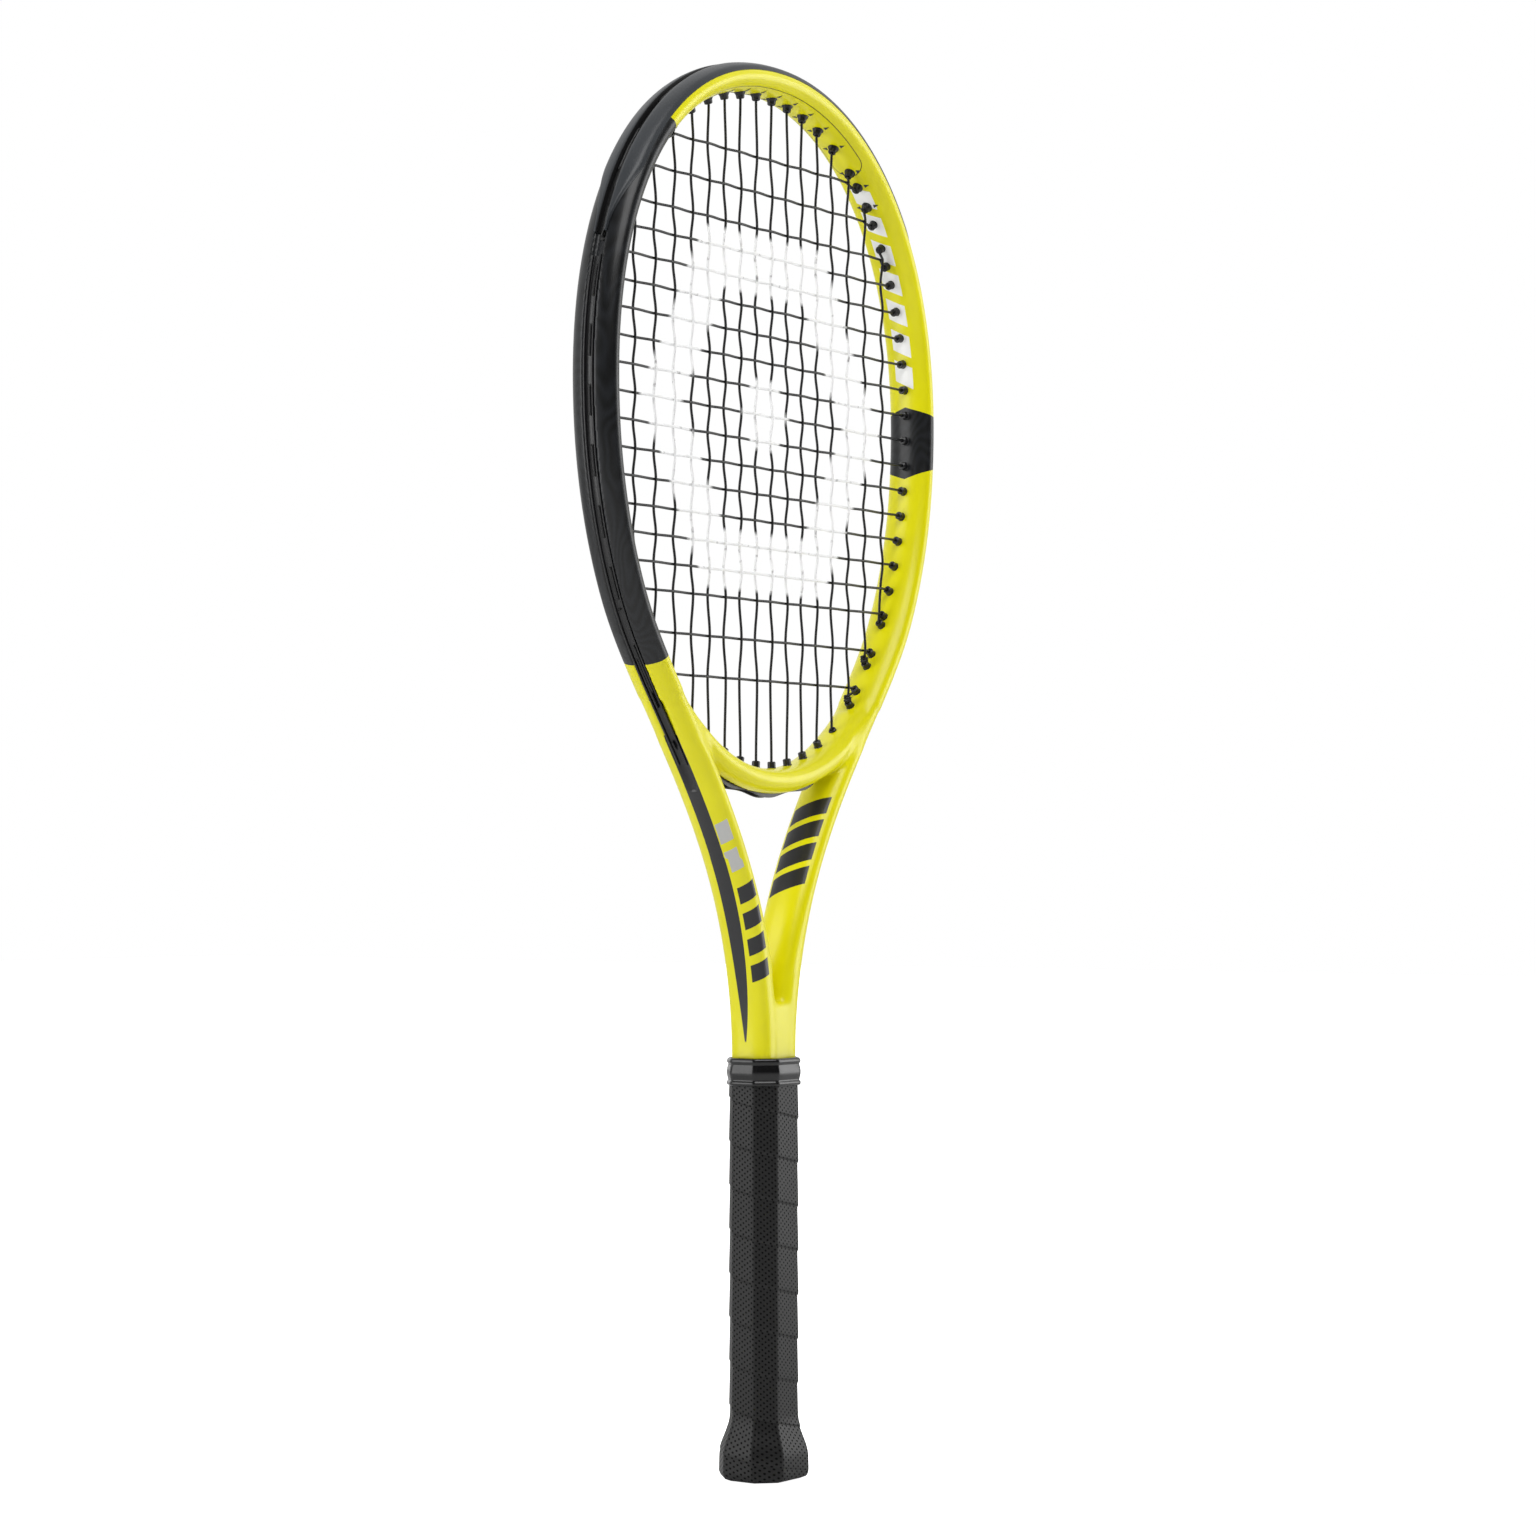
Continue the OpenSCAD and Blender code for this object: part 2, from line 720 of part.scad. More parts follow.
// [height, outward] up the butt end: the rounded edge, then the flare that lies under the wrap.
butt_profile = concat(
    [for (z = [0, wrap_bottom_z - clearance]) [z, flare(z)]],
    [for (z = [wrap_bottom_z, butt_edge_r / 2, butt_edge_r]) [z, flare(z) - wrap_t - cap_gap]],
    [for (z = [flare_z[0] : flare_step : flare_z[1]]) [z, flare(z) - wrap_t - cap_gap]],
    [[cap_top_z, -wrap_t - cap_gap]]
);

module rounded_plate(w, d, h) {
    linear_extrude(h) difference() {
        square([w, d], center = true);
        for (x = [-1, 1], y = [-1, 1]) translate([x * w / 2, y * d / 2]) rotate(atan2(-y, -x) - 45)
            difference() {
                square(door_corner);
                translate([door_corner, door_corner]) circle(door_corner, $fn = 32);
            }
    }
}

module butt_cap() {
    color("dimgray") difference() {
        capped_sweep([for (p = butt_profile) at_z(octagon(p[1]), p[0])], flip = true);
        translate([0, 0, cap_floor]) linear_extrude(cap_top_z)
            polygon(octagon(-wrap_t - cap_gap - cap_t));
        translate([0, 0, -1]) rounded_plate(door_w, door_d, door_t + 1);
        translate([0, 0, -1]) rounded_plate(door_w - 2 * door_lip, door_d - 2 * door_lip, cap_floor + 2);
    }
}

// A snap-in lid in the butt end, with a boss that plugs the hole behind it.
module butt_cap_door() {
    lid = [door_w - 2 * door_gap, door_d - 2 * door_gap];
    boss = [lid.x - 2 * door_lip, lid.y - 2 * door_lip];
    color("gray") translate([0, 0, door_gap]) {
        rounded_plate(lid.x, lid.y, door_t - 2 * door_gap);
        rounded_plate(boss.x, boss.y, door_t + boss_h);
    }
}

// A wire staple whose crown lies along X on the +Y side of the origin, with its legs pointing at -Y.
module staple() {
    crown = [staple_crown, staple_wire, staple_wire];
    leg = [staple_wire, staple_leg, staple_wire];
    translate([0, -staple_wire / 2, 0]) cube(crown, center = true);
    for (side = [-1, 1])
        translate([side * (staple_crown - staple_wire) / 2, -staple_leg / 2, 0]) cube(leg, center = true);
}

module butt_cap_staples() {
    y = grip_depth / 2 - wrap_t - cap_gap + flare(staple_z);
    color("silver") for (turn = [0, 180]) rotate(turn) translate([0, y, staple_z]) staple();
}

module grip_start_staple() {
    y = grip_depth / 2 + butt_grow;
    color("silver") translate([0, y, tack_z]) staple();
}

frame();
throat_bridge();
shaft_web();
leg_end_plugs();
bumper_guard();
side_grommet_strip_left();
side_grommet_strip_right();
throat_grommet_strip();
main_strings();
cross_strings();
tie_off_knots();
handle_pallet();
grip_backing_tape();
grip_wrap();
grip_start_staple();
grip_finishing_tape();
grip_collar();
butt_cap();
butt_cap_staples();
butt_cap_door();
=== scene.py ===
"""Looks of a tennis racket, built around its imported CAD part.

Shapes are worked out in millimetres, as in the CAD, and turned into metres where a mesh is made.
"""

import functools
import math

import bmesh
import bpy
import numpy as np
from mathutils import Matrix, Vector


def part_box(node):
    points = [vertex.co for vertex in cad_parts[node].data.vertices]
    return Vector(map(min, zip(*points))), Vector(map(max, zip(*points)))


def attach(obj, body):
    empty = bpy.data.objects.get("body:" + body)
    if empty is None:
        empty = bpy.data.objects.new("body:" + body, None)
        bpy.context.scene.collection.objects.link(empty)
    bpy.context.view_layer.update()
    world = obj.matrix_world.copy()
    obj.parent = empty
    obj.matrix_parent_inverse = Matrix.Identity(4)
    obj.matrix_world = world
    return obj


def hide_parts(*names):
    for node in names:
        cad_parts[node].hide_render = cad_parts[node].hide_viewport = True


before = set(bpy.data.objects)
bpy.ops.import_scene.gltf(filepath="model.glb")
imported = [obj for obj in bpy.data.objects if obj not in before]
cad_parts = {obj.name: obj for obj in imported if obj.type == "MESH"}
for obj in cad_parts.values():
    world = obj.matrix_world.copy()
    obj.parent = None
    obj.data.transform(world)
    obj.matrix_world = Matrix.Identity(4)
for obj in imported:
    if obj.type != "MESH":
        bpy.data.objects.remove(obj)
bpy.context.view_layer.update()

MM = 0.001

# ---- Driving sizes of the part, in millimetres ----

HOOP_HALF_WIDTH = 131.7
HOOP_HALF_HEIGHT = 169.8
HOOP_SQUARENESS = 0.957
HOOP_EGG = 0.07
RIM_WIDTH = 12.6
HOOP_DEPTH = 24.8
HOOP_ROUNDNESS = 2.15
BUMPER_T = 1.2
HOOP_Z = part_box("bumper_guard")[1].z / MM - BUMPER_T - RIM_WIDTH / 2 - HOOP_HALF_HEIGHT

GROOVE_W = 5.8
GROOVE_DEPTH = 2.4
GROOVE_TAPER = 0.9
GROOVE_END_Z = 342
GROOVE_FADE = 8

LEAVE_ANGLE = 120
CURVE_TURN = 95
LEAVE_PULL = 59
SHAFT_PULL = 106
SHAFT_X = 7.5
SHAFT_Z = 204
SHAFT_HALF_W = 7.4
SHAFT_DEPTH = 22.7
SHAFT_ROUNDNESS = 3
MORPH_Z = (234, 301)
LEG_X = 6.1
LEG_SIZE = (9.3, 5.3, 3)
LEG_TOP_Z = 198
LEG_BOTTOM_Z = 16

BRIDGE_ANGLE = 143
BRIDGE_DEPTH = 23
BRIDGE_SIZE = (BRIDGE_DEPTH / 2, RIM_WIDTH / 2, HOOP_ROUNDNESS)
SIDE_HOLES_END = 156
SHOULDER_START = 149

WEB_BOTTOM_Z = 200
CROTCH_Z = 231
WEB_OVERLAP = 3.5

STRING_D = 1.3
STRING_PITCH = 12.9
MAIN_COUNT = 16
CROSS_COUNT = 19
MAIN_STRAIGHT = 3
MAIN_FAN = 0.42
TOP_FAN = 4.4
BOTTOM_FAN = 6.5
CENTRE_CROSS_Z = 516.6
MIDDLE_CROSS = 9
FIRST_EVEN_CROSS = 2
LAST_EVEN_CROSS = 16
WEAVE = STRING_D / 2 + 0.01
LEAST_CROSSING = 1.2
OUTER_MAIN_TOP_TURN = 2.2
OUTER_MAIN_BOTTOM_TURN = 3.2
UPPER_CROSS_TURNS = (2.2, 1.2, 1.9)
SIDE_BY_SIDE = 0.7

BARREL_R = 2
BARREL_OUT = 3.2
SHOULDER_BARREL_OUT = 6
FLARED_END = 44
WING_HALF_W = 0.95
WING_FOOT_Y = 4.0
WING_TIP_Y = 6.6
GUARD_EDGE_Y = 11.3
STRIP_T = 0.8
STRIP_WALL = 0.85
STRIP_LIFT = 0.25
CLEARANCE = 0.05
HOOP_RINGS = 30
BUMPER_LAST_RING = 16
HOOP_STEP = LEAVE_ANGLE / HOOP_RINGS
BUMPER_END = BUMPER_LAST_RING * HOOP_STEP
STRIP_START = BUMPER_END + HOOP_STEP
BUMPER_SPLIT = (BUMPER_END + STRIP_START) / 2
THROAT_STRIP_HALF = 18.5
STRING_LIFT = CLEARANCE + STRIP_T + STRING_D / 2 + CLEARANCE

GRIP_W = 34
GRIP_D = 29
GRIP_TOP = 191
FACE_Y_HALF = 9
FACE_X_HALF = 6.75
WRAP_T = 1.7
WRAP_PITCH = 21.4
WRAP_BOTTOM = 1.2
FIRST_TURN_Z = 9
BUTT_GROW = 4.7
BUTT_EDGE_R = 4
FLARE_Z = (11, 31)

# ---- Mesh helpers ----


def new_mesh(name, points, faces):
    """A smooth mesh object from points in millimetres."""
    mesh = bpy.data.meshes.new(name)
    mesh.from_pydata((np.asarray(points, float) * MM).tolist(), [], [tuple(f) for f in faces])
    mesh.update()
    mesh.shade_smooth()
    piece = bpy.data.objects.new(name, mesh)
    bpy.context.scene.collection.objects.link(piece)
    return piece


def swept_faces(rings, count, closed_path=False):
    """Quads between rings of count points each, with a cap at both ends unless the path closes."""
    faces = []
    for i in range(rings if closed_path else rings - 1):
        here = i * count
        following = (i + 1) % rings * count
        for k in range(count):
            ahead = (k + 1) % count
            faces.append((here + k, here + ahead, following + ahead, following + k))
    if not closed_path:
        faces.append(tuple(range(count - 1, -1, -1)))
        faces.append(tuple(range((rings - 1) * count, rings * count)))
    return faces


def sweep(name, rings, closed_path=False):
    """A closed solid through rings of points."""
    points = np.concatenate([np.asarray(r, float) for r in rings])
    return new_mesh(name, points, swept_faces(len(rings), len(rings[0]), closed_path))


def join(name, pieces):
    """Joins mesh objects into the first, and names the result."""
    with bpy.context.temp_override(active_object=pieces[0], selected_editable_objects=pieces):
        bpy.ops.object.join()
    pieces[0].name = name
    pieces[0].data.name = name
    return pieces[0]


def fix_normals(piece):
    """Makes every closed shell of a mesh face outwards."""
    shape = bmesh.new()
    shape.from_mesh(piece.data)
    bmesh.ops.recalc_face_normals(shape, faces=shape.faces[:])
    shape.to_mesh(piece.data)
    shape.free()
    return piece


def sharp_edges(piece, degrees):
    """Shades smooth, apart from edges sharper than an angle."""
    piece.data.shade_smooth()
    piece.data.set_sharp_from_angle(angle=math.radians(degrees))


def bake_modifiers(piece):
    """Replaces a piece's mesh with what its modifiers make of it."""
    graph = bpy.context.evaluated_depsgraph_get()
    mesh = bpy.data.meshes.new_from_object(piece.evaluated_get(graph))
    piece.modifiers.clear()
    piece.data = mesh
    return piece


def get_points(mesh):
    """A mesh's points in millimetres."""
    found = np.empty(len(mesh.vertices) * 3)
    mesh.vertices.foreach_get("co", found)
    return found.reshape(-1, 3) / MM


def set_points(mesh, points):
    mesh.vertices.foreach_set("co", (np.asarray(points) * MM).ravel())
    mesh.update()


def add_attribute(mesh, name, values):
    layer = mesh.attributes.new(name, "FLOAT", "POINT")
    layer.data.foreach_set("value", np.asarray(values, np.float32))


def finish_piece(piece, body, material, slot, *nodes):
    """Gives a new piece its material and body, and hides the CAD nodes that it stands for. The slot is not
    used.
    """
    piece.data.materials.clear()
    piece.data.materials.append(material)
    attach(piece, body)
    if nodes:
        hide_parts(*nodes)


# ---- The centre line of the tube ----


def smooth_step(v):
    v = np.clip(v, 0, 1)
    return v * v * (3 - 2 * v)


def mix(a, b, share):
    return a + (b - a) * share


def signed_pow(v, n):
    return np.sign(v) * np.abs(v) ** n


def unit(v):
    v = np.asarray(v, float)
    return v / np.linalg.norm(v)


def hoop_point(t):
    a = math.radians(t)
    x = HOOP_HALF_WIDTH * signed_pow(math.sin(a), HOOP_SQUARENESS) * (1 + HOOP_EGG * math.cos(a))
    return np.array([x, HOOP_Z + HOOP_HALF_HEIGHT * signed_pow(math.cos(a), HOOP_SQUARENESS)])


def hoop_dir(t):
    return unit(hoop_point(t + 0.5) - hoop_point(t - 0.5))


CURVE_START = hoop_point(LEAVE_ANGLE)
CURVE_A = CURVE_START + LEAVE_PULL * hoop_dir(LEAVE_ANGLE)
CURVE_B = np.array([SHAFT_X, SHAFT_Z + SHAFT_PULL])
CURVE_END = np.array([SHAFT_X, SHAFT_Z])


def curve_point(s):
    r = 1 - s
    return r**3 * CURVE_START + 3 * r * r * s * CURVE_A + 3 * r * s * s * CURVE_B + s**3 * CURVE_END


def curve_dir(s):
    r = 1 - s
    return unit(r * r * (CURVE_A - CURVE_START) + 2 * r * s * (CURVE_B - CURVE_A)
                + s * s * (CURVE_END - CURVE_B))


def outward(direction):
    return np.array([-direction[1], direction[0]])


def limb_place(t):
    """Centre and direction of the right limb: angles up to LEAVE_ANGLE on the hoop, then the curve."""
    if t <= LEAVE_ANGLE:
        return hoop_point(t), hoop_dir(t)
    s = min((t - LEAVE_ANGLE) / CURVE_TURN, 1)
    return curve_point(s), curve_dir(s)


def tube_size(z):
    """(half depth, half width, roundness) of the tube at a height."""
    share = 1 - smooth_step((z - MORPH_Z[0]) / (MORPH_Z[1] - MORPH_Z[0]))
    return (
        mix(HOOP_DEPTH, SHAFT_DEPTH, share) / 2,
        mix(RIM_WIDTH / 2, SHAFT_HALF_W, share),
        mix(HOOP_ROUNDNESS, SHAFT_ROUNDNESS, share),
    )


def oval(size, a):
    return np.array([
        size[1] * signed_pow(math.cos(a), 2 / size[2]),
        size[0] * signed_pow(math.sin(a), 2 / size[2]),
    ])


def edge_angle(size, y):
    return math.asin((y / size[0]) ** (size[2] / 2))


def surface_u(size, y):
    return size[1] * (1 - (abs(y) / size[0]) ** size[2]) ** (1 / size[2])


def place(centre, direction, u, y):
    """The point that lies u outwards and y back from a place on the centre line."""
    n = outward(direction)
    return np.array([centre[0] + n[0] * u, y, centre[1] + n[1] * u])


def mirror_x(points):
    return np.asarray(points, float) * np.array([-1, 1, 1])


# ---- Where each string meets the hoop ----


def on_curve(t):
    return LEAVE_ANGLE < t < SIDE_HOLES_END


def rim_point(t):
    if t > 180:
        return rim_point(360 - t) * np.array([-1, 1])
    return curve_point((t - LEAVE_ANGLE) / CURVE_TURN) if on_curve(t) else hoop_point(t)


def rim_out(t):
    if t > 180:
        return rim_out(360 - t) * np.array([-1, 1])
    return outward(curve_dir((t - LEAVE_ANGLE) / CURVE_TURN) if on_curve(t) else hoop_dir(t))


def barrel_reach(t):
    """How far a barrel stands out inside the head: further at the shoulder of the bridge."""
    t = min(t, 360 - t)
    return SHOULDER_BARREL_OUT if on_curve(t) and t > SHOULDER_START else BARREL_OUT


def tip_point(t):
    return rim_point(t) - (RIM_WIDTH / 2 + barrel_reach(t)) * rim_out(t)


def groove_point(t, lift):
    return rim_point(t) + (RIM_WIDTH / 2 - GROOVE_DEPTH + lift) * rim_out(t)


def hole_angle(axis, want, low, high):
    """Halves the range until the barrel's tip has the wanted x (axis 0) or z (axis 1)."""
    for _ in range(24):
        mid = (low + high) / 2
        rising = tip_point(high)[axis] > tip_point(low)[axis]
        above = tip_point(mid)[axis] > want
        if rising == above:
            high = mid
        else:
            low = mid
    return (low + high) / 2


def main_half(i):
    return STRING_PITCH * (i + 0.5) + MAIN_FAN * max(0, i - MAIN_STRAIGHT) ** 2


def main_x(i):
    half = MAIN_COUNT // 2
    return -main_half(half - 1 - i) if i < half else main_half(i - half)


def cross_z(j):
    return (CENTRE_CROSS_Z + STRING_PITCH * (MIDDLE_CROSS - j)
            + TOP_FAN * max(0, FIRST_EVEN_CROSS - j) - BOTTOM_FAN * max(0, j - LAST_EVEN_CROSS))


def outer_main(i):
    return {0: -1, MAIN_COUNT - 1: 1}.get(i, 0)


MAIN_TOP = [hole_angle(0, main_x(i), -80, 80) - outer_main(i) * OUTER_MAIN_TOP_TURN
            for i in range(MAIN_COUNT)]
MAIN_BOTTOM = [hole_angle(0, main_x(i), 100, 260) + outer_main(i) * OUTER_MAIN_BOTTOM_TURN
               for i in range(MAIN_COUNT)]
CROSS_RIGHT = [hole_angle(1, cross_z(j), 5, 175)
               + (UPPER_CROSS_TURNS[j] if j < len(UPPER_CROSS_TURNS) else 0)
               for j in range(CROSS_COUNT)]
CROSS_LEFT = [360 - t for t in CROSS_RIGHT]
HOLES = MAIN_TOP + MAIN_BOTTOM + CROSS_RIGHT + CROSS_LEFT


def from_top(t):
    return abs(t - 360 if t > 180 else t)


# ---- Node helpers ----

# Half the width over which a painted edge blurs.
SHARP = 0.06 * MM


class Nodes:
    """A material's node tree, with short calls that add a node and link it."""

    def __init__(self, name):
        self.material = bpy.data.materials.new(name)
        self.material.use_nodes = True
        self.tree = self.material.node_tree
        self.shader = self.tree.nodes["Principled BSDF"]

    def add(self, kind, **settings):
        node = self.tree.nodes.new(kind)
        for key, value in settings.items():
            setattr(node, key, value)
        return node

    def link(self, source, target):
        self.tree.links.new(source, target)

    def feed(self, target, value):
        if isinstance(value, bpy.types.NodeSocket):
            self.link(value, target)
        else:
            target.default_value = value

    def math(self, operation, a, b=0.0, c=0.0):
        node = self.add("ShaderNodeMath", operation=operation)
        for socket, value in zip(node.inputs, (a, b, c)):
            self.feed(socket, value)
        return node.outputs[0]

    def both(self, *masks):
        """A mask that is 1 where all masks are."""
        return functools.reduce(lambda a, b: self.math("MULTIPLY", a, b), masks)

    def either(self, *masks):
        """A mask that is 1 where any mask is."""
        return functools.reduce(lambda a, b: self.math("MAXIMUM", a, b), masks)

    def above(self, value, edge, soft=SHARP):
        """Rises from 0 to 1 as value passes an edge, over a very short distance."""
        node = self.add("ShaderNodeMapRange", clamp=True)
        self.link(value, node.inputs["Value"])
        node.inputs["From Min"].default_value = edge - soft
        node.inputs["From Max"].default_value = edge + soft
        return node.outputs["Result"]

    def below(self, value, edge, soft=SHARP):
        return self.math("SUBTRACT", 1.0, self.above(value, edge, soft))

    def between(self, value, low, high, soft=SHARP):
        return self.both(self.above(value, low, soft), self.below(value, high, soft))

    def attribute(self, name):
        return self.add("ShaderNodeAttribute", attribute_name=name).outputs["Fac"]

    def position(self):
        return self.add("ShaderNodeTexCoord").outputs["Object"]

    def axis(self, name):
        """One coordinate of the shaded point: X, Y or Z."""
        node = self.add("ShaderNodeSeparateXYZ")
        self.link(self.position(), node.inputs[0])
        return node.outputs[name]

    def stretched(self, scale):
        """The shaded point's place, scaled along each axis to draw a texture out."""
        node = self.add("ShaderNodeMapping")
        self.link(self.position(), node.inputs["Vector"])
        node.inputs["Scale"].default_value = scale
        return node.outputs["Vector"]

    def cells(self, scale, feature="F1"):
        node = self.add("ShaderNodeTexVoronoi", feature=feature)
        self.link(self.position(), node.inputs["Vector"])
        node.inputs["Scale"].default_value = scale
        return node.outputs["Distance"]

    def noise(self, scale, detail=4.0, rough=0.55, vector=None):
        node = self.add("ShaderNodeTexNoise")
        self.link(vector or self.position(), node.inputs["Vector"])
        node.inputs["Scale"].default_value = scale
        node.inputs["Detail"].default_value = detail
        node.inputs["Roughness"].default_value = rough
        return node.outputs["Fac"]

    def spread(self, value, low, high):
        """Maps 0..1 to low..high."""
        node = self.add("ShaderNodeMapRange")
        self.feed(node.inputs["Value"], value)
        node.inputs["To Min"].default_value = low
        node.inputs["To Max"].default_value = high
        return node.outputs["Result"]

    def blend(self, share, first, second):
        """Mixes two colours."""
        node = self.add("ShaderNodeMix", data_type="RGBA")
        self.feed(node.inputs["Factor"], share)
        self.feed(node.inputs["A"], first)
        self.feed(node.inputs["B"], second)
        return node.outputs["Result"]

    def bump(self, height, strength, distance, normal=None):
        node = self.add("ShaderNodeBump")
        self.feed(node.inputs["Height"], height)
        node.inputs["Strength"].default_value = strength
        node.inputs["Distance"].default_value = distance
        if normal is not None:
            self.link(normal, node.inputs["Normal"])
        return node.outputs["Normal"]

    def set(self, **inputs):
        """Sets or links the shader's inputs, whose names have _ for a space."""
        for key, value in inputs.items():
            self.feed(self.shader.inputs[key.replace("_", " ")], value)
        return self.material


def srgb(r, g, b):
    """A colour given as 0..255 screen values, as linear light."""
    def linear(v):
        v /= 255
        return v / 12.92 if v <= 0.04045 else ((v + 0.055) / 1.055) ** 2.4
    return (linear(r), linear(g), linear(b), 1.0)


# ---- Materials ----

# Paint, in millimetres along a limb from the top of the hoop. Bars also have their reach around it.
BLACK_RUN = (97.5, 365.5)
PATCH_MIDDLE = 236.3
PATCH_HALF = 19
PATCH_SLANT = 0.33
STRIPE_RUN = (405, 572.8)
STRIPE_TAPER = (488, 573)
STRIPE_HALF = 4.1
CROWN_HALF = 3.5
INLAY_MIDDLE = 8
INLAY_HALF_RUN = 70
INLAY_R = 9
INLAY_LINE = 0.44
THROAT_BARS = dict(start=449, count=4, pitch=12.9, length=9.6, low=-9.5, high=10.2, slope=0.42)
SHAFT_BARS = dict(start=484, count=4, pitch=13.4, length=8.6, low=15.5, high=25.5, slope=-0.28)
SILVER_BARS = dict(start=449, count=2, pitch=15.5, length=11, low=18.8, high=25.8, slope=-0.28)
WHITE_BARS = dict(start=96, count=7, pitch=16.4, length=11.2, low=-5.2, high=5.2, slope=-0.5)

# The stencil on the strings, in metres as the shader counts.
STENCIL_RING = (0.058, 0.086)
STENCIL_DOT = 0.017
STENCIL_BLUR = 0.0012

YELLOW = srgb(230, 224, 6)
YELLOW_DEEP = srgb(218, 211, 2)
BLACK_PAINT = srgb(11, 12, 13)
BLACK_LIGHT = srgb(27, 29, 32)


def hex_ring(nodes, x, z, centre_z, outer, inner):
    """A thick hexagon ring around a point of the string bed."""
    across = nodes.math("ABSOLUTE", x)
    up = nodes.math("ABSOLUTE", nodes.math("SUBTRACT", z, centre_z))
    slanted = nodes.math("ADD", nodes.math("MULTIPLY", across, math.cos(math.radians(30))),
                         nodes.math("MULTIPLY", up, math.sin(math.radians(30))))
    reach = nodes.math("MAXIMUM", up, slanted)
    return nodes.between(reach, inner, outer, STENCIL_BLUR)


def grain_colour(nodes):
    """The flowing grain of the black paint: contour lines of a broad noise, drawn out along the limb."""
    broad = nodes.noise(26, 1.6, 0.4, nodes.stretched((1.0, 1.4, 0.55)))
    lines = nodes.math("SINE", nodes.math("MULTIPLY", broad, 150.0))
    return nodes.blend(nodes.math("MULTIPLY_ADD", lines, 0.4, 0.45), BLACK_PAINT, BLACK_LIGHT)


def slanted_bars(nodes, along, around, side, start, count, pitch, length, low, high, slope):
    """A row of slanted bars along one limb, each from low to high around it, in millimetres."""
    sheared = nodes.math("ADD", along, nodes.math("MULTIPLY", around, slope))
    offset = nodes.math("SUBTRACT", sheared, start * MM)
    inside = nodes.both(nodes.above(offset, 0.0), nodes.below(offset, ((count - 1) * pitch + length) * MM))
    step = nodes.math("PINGPONG", nodes.math("SUBTRACT", offset, length / 2 * MM), pitch / 2 * MM)
    bar = nodes.below(step, length / 2 * MM)
    return nodes.both(inside, bar, nodes.between(around, low * MM, high * MM), side)


def black_mask(nodes, along, around, left, right):
    """The black run of the left limb, and the pointed black patch on the right one."""
    run = nodes.both(left, nodes.between(along, BLACK_RUN[0] * MM, BLACK_RUN[1] * MM))
    slant = nodes.math("MULTIPLY", nodes.math("ABSOLUTE", around), PATCH_SLANT)
    middle = nodes.math("ABSOLUTE", nodes.math("SUBTRACT", along, PATCH_MIDDLE * MM))
    patch = nodes.both(right, nodes.below(nodes.math("ADD", middle, slant), PATCH_HALF * MM))
    return nodes.either(run, patch)


def stripe_mask(nodes, along, from_outer, limb):
    """The dark stripe down the outer side of each limb, which narrows to a point at its lower end."""
    taper = nodes.add("ShaderNodeMapRange", clamp=True)
    nodes.link(along, taper.inputs["Value"])
    taper.inputs["From Min"].default_value = STRIPE_TAPER[0] * MM
    taper.inputs["From Max"].default_value = STRIPE_TAPER[1] * MM
    narrowing = nodes.math("POWER", taper.outputs["Result"], 3.0)
    half = nodes.math("MULTIPLY", nodes.math("SUBTRACT", 1.0, narrowing), STRIPE_HALF * MM)
    run = nodes.between(along, STRIPE_RUN[0] * MM, STRIPE_RUN[1] * MM)
    return nodes.both(nodes.below(nodes.math("SUBTRACT", from_outer, half), 0.0), run, limb)


def shell_material():
    """Gloss yellow and grained black paint, with the stripes and bars that the frame carries."""
    nodes = Nodes("frame_paint")
    x = nodes.axis("X")
    along = nodes.attribute("along")
    around = nodes.attribute("around")
    from_outer = nodes.attribute("from_outer")
    left = nodes.below(x, 0.0)
    right = nodes.above(x, 0.0)
    limb = nodes.below(nodes.attribute("on_bridge"), 0.5, 0.02)
    off_crown = nodes.both(limb, nodes.above(from_outer, CROWN_HALF * MM))

    black = black_mask(nodes, along, around, left, right)
    stripe = stripe_mask(nodes, along, from_outer, limb)
    dark_bars = nodes.either(slanted_bars(nodes, along, around, right, **THROAT_BARS),
                             slanted_bars(nodes, along, around, left, **SHAFT_BARS))
    dark_marks = nodes.both(dark_bars, off_crown)
    silver_marks = nodes.both(slanted_bars(nodes, along, around, left, **SILVER_BARS), off_crown)
    white_marks = nodes.both(slanted_bars(nodes, along, around, right, **WHITE_BARS), off_crown)
    inlay = nodes.below(nodes.math("ABSOLUTE", nodes.attribute("inlay")), INLAY_LINE / 2 * MM)

    mottle = nodes.noise(38, 3)
    colour = nodes.blend(mottle, YELLOW, YELLOW_DEEP)
    colour = nodes.blend(black, colour, grain_colour(nodes))
    colour = nodes.blend(nodes.either(stripe, dark_marks), colour, srgb(38, 38, 40))
    colour = nodes.blend(silver_marks, colour, srgb(178, 178, 176))
    colour = nodes.blend(white_marks, colour, srgb(240, 240, 238))
    colour = nodes.blend(inlay, colour, srgb(70, 66, 20))
    orange_peel = nodes.bump(nodes.noise(900, 2), 0.05, 0.0004)
    normal = nodes.bump(nodes.noise(5200, 1), 0.04, 0.0002, orange_peel)
    rough = nodes.math("ADD", nodes.spread(mottle, 0.26, 0.36), nodes.math("MULTIPLY", black, 0.06))
    metal = nodes.math("MULTIPLY", silver_marks, 0.65)
    return nodes.set(Base_Color=colour, Roughness=rough, Metallic=metal, Normal=normal,
                     Specular_IOR_Level=0.30, Coat_Weight=0.12, Coat_Roughness=0.15)


